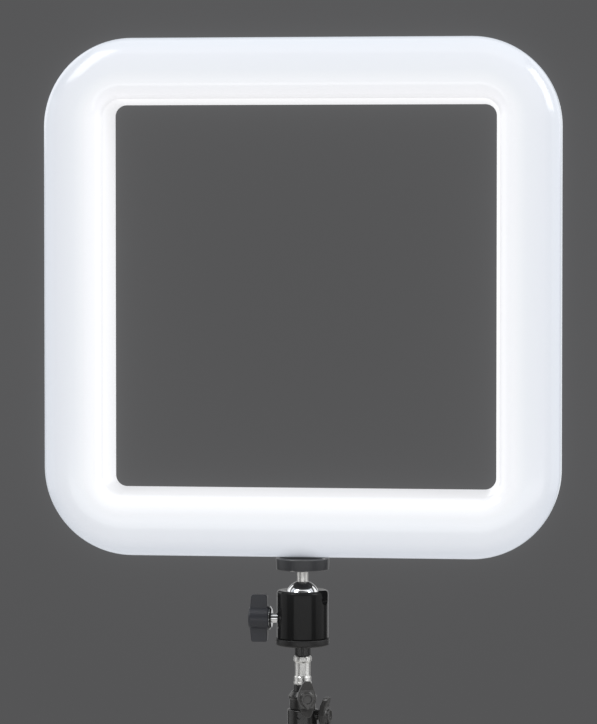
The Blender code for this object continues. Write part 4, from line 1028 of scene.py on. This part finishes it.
def build_lower_clamp():
    """The clamp round the middle tube with its wing knob, and the outer tube that it sits on."""
    body = "stand_base"
    low, top = heights("lower_clamp")
    stop = heights("outer_tube")[1] + GAP
    bore, mouth, wide, slim = OUTER_RADIUS + GAP, MIDDLE_RADIUS + GAP, 11.8, 10.4
    profile = [(bore, low, 0.2), (wide, low, 0.9), (wide, top - 13, 1.2), (slim, top - 11, 1.2)]
    profile += [(slim, top, 0.9), (mouth, top, 0.3), (mouth, stop, 0), (bore, stop, 0)]
    clamp = cut(collar("lower", profile, LOWER_FACE), clamp_recess(top))
    piece("lower_collar", clamp, "plastic", body, "clamp_plastic", ON_COLUMN, "lower_clamp")
    build_tube("outer", OUTER_RADIUS, 8.1, body)
    build_wing("lower", LOWER_FACE, mouth)


def build_cap():
    """The plug in the outer tube's lower end."""
    low, high = heights("column_cap")
    flange, plug, step = 11, 7.8, low + 3
    profile = [(0, low, 0), (flange, low, 1), (flange, step, 0.3), (plug, step, 0), (plug, high, 0.4)]
    cap = lathe(profile + [(0, high, 0)])
    piece("bottom_cap", cap, "plastic", "stand_base", "clamp_plastic", ON_COLUMN, "column_cap")


# Tripod base


def leg_place(number):
    """A leg's level frame at its pivot, with X away from the column."""
    point = pivot(f"leg_{number}_fold")
    azimuth = math.atan2(point.y - COLUMN.y, point.x - COLUMN.x)
    return at(point) @ Matrix.Rotation(azimuth, 4, "Z")


def hub_place(number):
    """A leg's direction from the column's axis, at the height of its pivot, in millimetres."""
    place = leg_place(number)
    place = at((place.translation - COLUMN) / MM - place.translation) @ place
    return place @ at((-LEG_PIVOT, 0, 0))


def pin_hole():
    """A cutter across a hinge for its pin."""
    reach = 20
    return upright(bar(PIN_RADIUS + GAP, -reach, reach, sides=SMALL_SIDES))


def build_hub():
    """The hub with its three pairs of lugs, and the pins across them."""
    low, high = heights("base_hub")
    bore, wall, crown, shoulder = OUTER_RADIUS + GAP, 15, 12, high - 4
    profile = [(bore, low, 0.3), (wall, low, 1), (wall, shoulder, 1.5), (crown, high, 1.2), (bore, high, 0.3)]
    start, end, half, half_width, half_pin = crown, 28, 8, 8.4, 8.9
    lug = rounded([(start, -half, 0), (end, -half, half), (end, half, half), (start, half, 0)], steps=16)
    slot_half, slot_middle, reach = (24, 3.9), (37.1, 0), 30
    slot = rectangle(*slot_half, 0.5, slot_middle)
    lugs, slots, holes = [], [], []
    for number in LEG_NUMBERS:
        place = hub_place(number)
        lugs.append(moved(upright(slab(lug, -half_width, half_width, 0.8)), place))
        slots.append(moved(slab(slot, -reach, reach), place))
        holes.append(moved(pin_hole(), place @ at((LEG_PIVOT, 0, 0))))
    hub = cut(join(lathe(profile), *lugs), together(slots), together(holes))
    hub = moulded(hub, **SOFT_MOULD)
    piece("hub", hub, "plastic", "stand_base", "clamp_plastic", ON_COLUMN, "base_hub")
    for number in LEG_NUMBERS:
        pin = upright(bar(PIN_RADIUS, -half_pin, half_pin, 0.5, SMALL_SIDES))
        piece(f"pin_{number}", pin, "steel", "stand_base", "zinc_steel",
              leg_place(number), f"leg_pin_{number}")


def foot_profile():
    """A rubber foot's section along the leg: a sleeve with three ribs and a round end."""
    radius, bore, sleeve, rib_foot, groove, rib_top = 8.8, LEG_RADIUS + GAP, 7.5, 7.6, 7, 7.8
    start, first_rib, rib_pitch, stop = LEG_TUBE_END - 18, LEG_TUBE_END - 15.5, 2.6, LEG_TUBE_END + GAP
    profile = [(0, stop, 0), (bore, stop, 0), (bore, start, 0), (sleeve, start, 0.5)]
    for i in range(3):
        rib = first_rib + rib_pitch * i
        profile += [(rib_foot, rib, 0.2), (groove, rib + 0.4, 0.2)]
        profile += [(groove, rib + 1, 0.2), (rib_top, rib + 1.4, 0.2)]
    profile = rounded(profile + [(radius, LEG_TUBE_END - 7, 2)], closed=False, steps=4)
    return profile + arc((0, LEG_LENGTH), radius, 0, 86, 16) + [(0, LEG_LENGTH + radius)]


def build_foot(number, place):
    """A ribbed rubber foot, cut flat where it stands on the floor."""
    foot = moved(turned(foot_profile()), ALONG_LEG)
    into, sole_height = place.inverted(), 0.1 * MM
    plane = {"plane_co": into @ Vector((0, 0, sole_height)) / MM, "plane_no": into.to_3x3() @ UP}
    everything = foot.verts[:] + foot.edges[:] + foot.faces[:]
    sole = bmesh.ops.bisect_plane(foot, geom=everything, clear_inner=True, **plane)
    rim = [item for item in sole["geom_cut"] if isinstance(item, bmesh.types.BMEdge)]
    bmesh.ops.contextual_create(foot, geom=rim)
    piece(f"rubber_foot_{number}", foot, "rubber", f"leg_{number}", "black_rubber", place, f"foot_{number}")


def leg_root():
    """A leg's upper end: a tongue for the hinge, a shoulder, and a plug in the tube."""
    start, end, neck, shoulder, plug, stop = 9, 34, 4.6, 6.6, 4.5, 15.7
    profile = [(0, start, 0), (neck, start, 0.5), (shoulder, start + 2, 1), (shoulder, stop, 0.4)]
    profile += [(plug, stop, 0), (plug, end, 0.5), (0, end, 0)]
    half, half_width, reach = 6.5, 3.5, 12
    tongue = [(-half, -half, half), (reach, -half, 0), (reach, half, 0), (-half, half, half)]
    root = moved(lathe(profile), ALONG_LEG)
    root = join(root, upright(slab(rounded(tongue, steps=16), -half_width, half_width, 0.5)))
    return cut(root, pin_hole())


def build_legs():
    """Three legs with their hinge tongues, tubes and feet."""
    for number in LEG_NUMBERS:
        place, body = leg_place(number) @ LEG_SLOPE, f"leg_{number}"
        piece(f"root_{number}", leg_root(), "plastic", body, "clamp_plastic", place, f"leg_root_{number}")
        leg = moved(tube(LEG_RADIUS, LEG_BORE, LEG_TUBE_START, LEG_TUBE_END), ALONG_LEG)
        piece(f"leg_{number}_tube", leg, "paint", body, "black_tube_paint", place, f"leg_tube_{number}")
        build_foot(number, place)


def finish_hidden():
    """Materials for the pieces inside, which keep their CAD shapes."""
    looks = {"reflector_tray": "white", "driver_board": "pcb", "tripod_socket": "brass"}
    looks |= {f"led_board_{side}": "board" for side in ("top", "left", "bottom", "right")}
    looks |= {f"{kind}_potentiometer": "steel" for kind in DIALS}
    looks |= {"platform_pad": "rubber", "ball_seat": "brass", "pressure_pad": "brass"}
    looks |= {"pan_retaining_ring": "steel", "riser_end_plug": "plastic", "middle_end_plug": "plastic"}
    for node, look in looks.items():
        mesh = frame["nodes"][node].data
        mesh.materials.clear()
        mesh.materials.append(FINISHES[look])


# Stage


def floor_finish():
    """A pale, faintly uneven floor that fades out into the background."""
    made, tree, shader = material("pale_floor", FLOOR_COLOUR, roughness=0.6, specular=0.2)
    colour = grained(tree, noise(tree, scale=30), FLOOR_COLOUR, spread=0.03)
    distance = distance_from(tree, (0, 0, 0))
    fade = mapped(tree, distance, FLOOR_FADE_START, FLOOR_RADIUS, first=1.0, last=0.0, easing="SMOOTHSTEP")
    fill(tree, shader, {"Base Color": colour, "Alpha": fade})
    return made


def build_floor():
    """A pale disc under the part."""
    bm = bmesh.new()
    bmesh.ops.create_circle(bm, cap_ends=True, segments=SIDES, radius=FLOOR_RADIUS)
    floor = new_object("floor", mesh_of(bm, "floor"))
    floor.data.materials.append(floor_finish())
    floor.location.z = -FLOOR_DROP


def build_world():
    """A plain grey backdrop that also fills the shadows."""
    world = bpy.data.worlds.new("backdrop")
    bpy.context.scene.world = world
    world.use_nodes = True
    tree = world.node_tree
    fill(tree, tree.nodes["Background"], {"Color": (*BACKDROP_COLOUR, 1), "Strength": 1.0})


def aimed(name, data, place, target):
    """A new light or camera at a place, aimed at a point."""
    obj = new_object(name, data)
    obj.location = place
    obj.rotation_mode = "QUATERNION"
    obj.rotation_quaternion = (Vector(target) - Vector(place)).to_track_quat("-Z", "Y")
    return obj


def softbox(name, place, target, extent, watts):
    """A soft area light aimed at a point. The camera doesn't see it."""
    data = bpy.data.lights.new(name, "AREA")
    data.shape = "RECTANGLE"
    data.size, data.size_y = extent
    data.energy = watts
    aimed(name, data, place, target).visible_camera = False


def build_lights():
    """Two high front softboxes, a low strip that lights the metal parts, and weaker fill from all sides."""
    stand, head, low_head = (0, 0, 0.5), (0, 0, 0.6), (0, -0.07, 0.5)
    softbox("front_left", (-1.38, -1.1, 2.36), FRAME_MIDDLE, (1.0, 1.3), watts=18)
    softbox("front_right", (1.97, -0.74, 1.89), FRAME_MIDDLE, (1.0, 1.4), watts=22)
    softbox("low_front", (0.2, -1.75, 0.15), low_head, (2.8, 0.5), watts=6)
    softbox("overhead", (0, -0.3, 2.3), stand, (2.4, 2.0), watts=13)
    softbox("side_left", (-2, 0, 0.7), head, (1.8, 1.5), watts=5)
    softbox("side_right", (2, 0, 0.7), head, (1.8, 1.5), watts=6)
    softbox("rear_card", (0, 1.8, 0.5), stand, (2.6, 0.9), watts=3.5)
    softbox("rear_left", (-1.5, 1.0, 1.55), head, (1.2, 1.6), watts=6)
    softbox("rear_right", (1.5, 1.0, 1.55), head, (1.2, 1.6), watts=6)


def build_camera():
    """The camera at the photo's viewing angle."""
    data = bpy.data.cameras.new("camera")
    data.sensor_width = 36
    data.lens = CAMERA_LENS
    data.shift_y = CAMERA_SHIFT
    bpy.context.scene.camera = aimed("camera", data, CAMERA_PLACE, CAMERA_TARGET)


def build_glow():
    """A little lens bloom round the lit ring."""
    scene = bpy.context.scene
    scene.view_settings.view_transform = "Standard"
    scene.use_nodes = True
    tree = scene.node_tree
    tree.nodes.clear()
    lit = {"Image": new_node(tree, "CompositorNodeRLayers").outputs["Image"]}
    lit |= {"Threshold": 0.5, "Strength": 0.2, "Size": 0.45}
    glare = new_node(tree, "CompositorNodeGlare", lit, glare_type="BLOOM")
    new_node(tree, "CompositorNodeComposite", {"Image": glare.outputs["Image"]})


# The part, from the light down to the feet, and its stage
build_shells()
build_screws()
for kind in DIALS:
    build_dial(kind)
build_switch()
build_inlet()
build_platform()
build_ball()
build_cup()
build_base()
build_lock()
build_riser()
build_upper_clamp()
build_lower_clamp()
build_cap()
build_hub()
build_legs()
finish_hidden()
build_floor()
build_world()
build_lights()
build_camera()
build_glow()
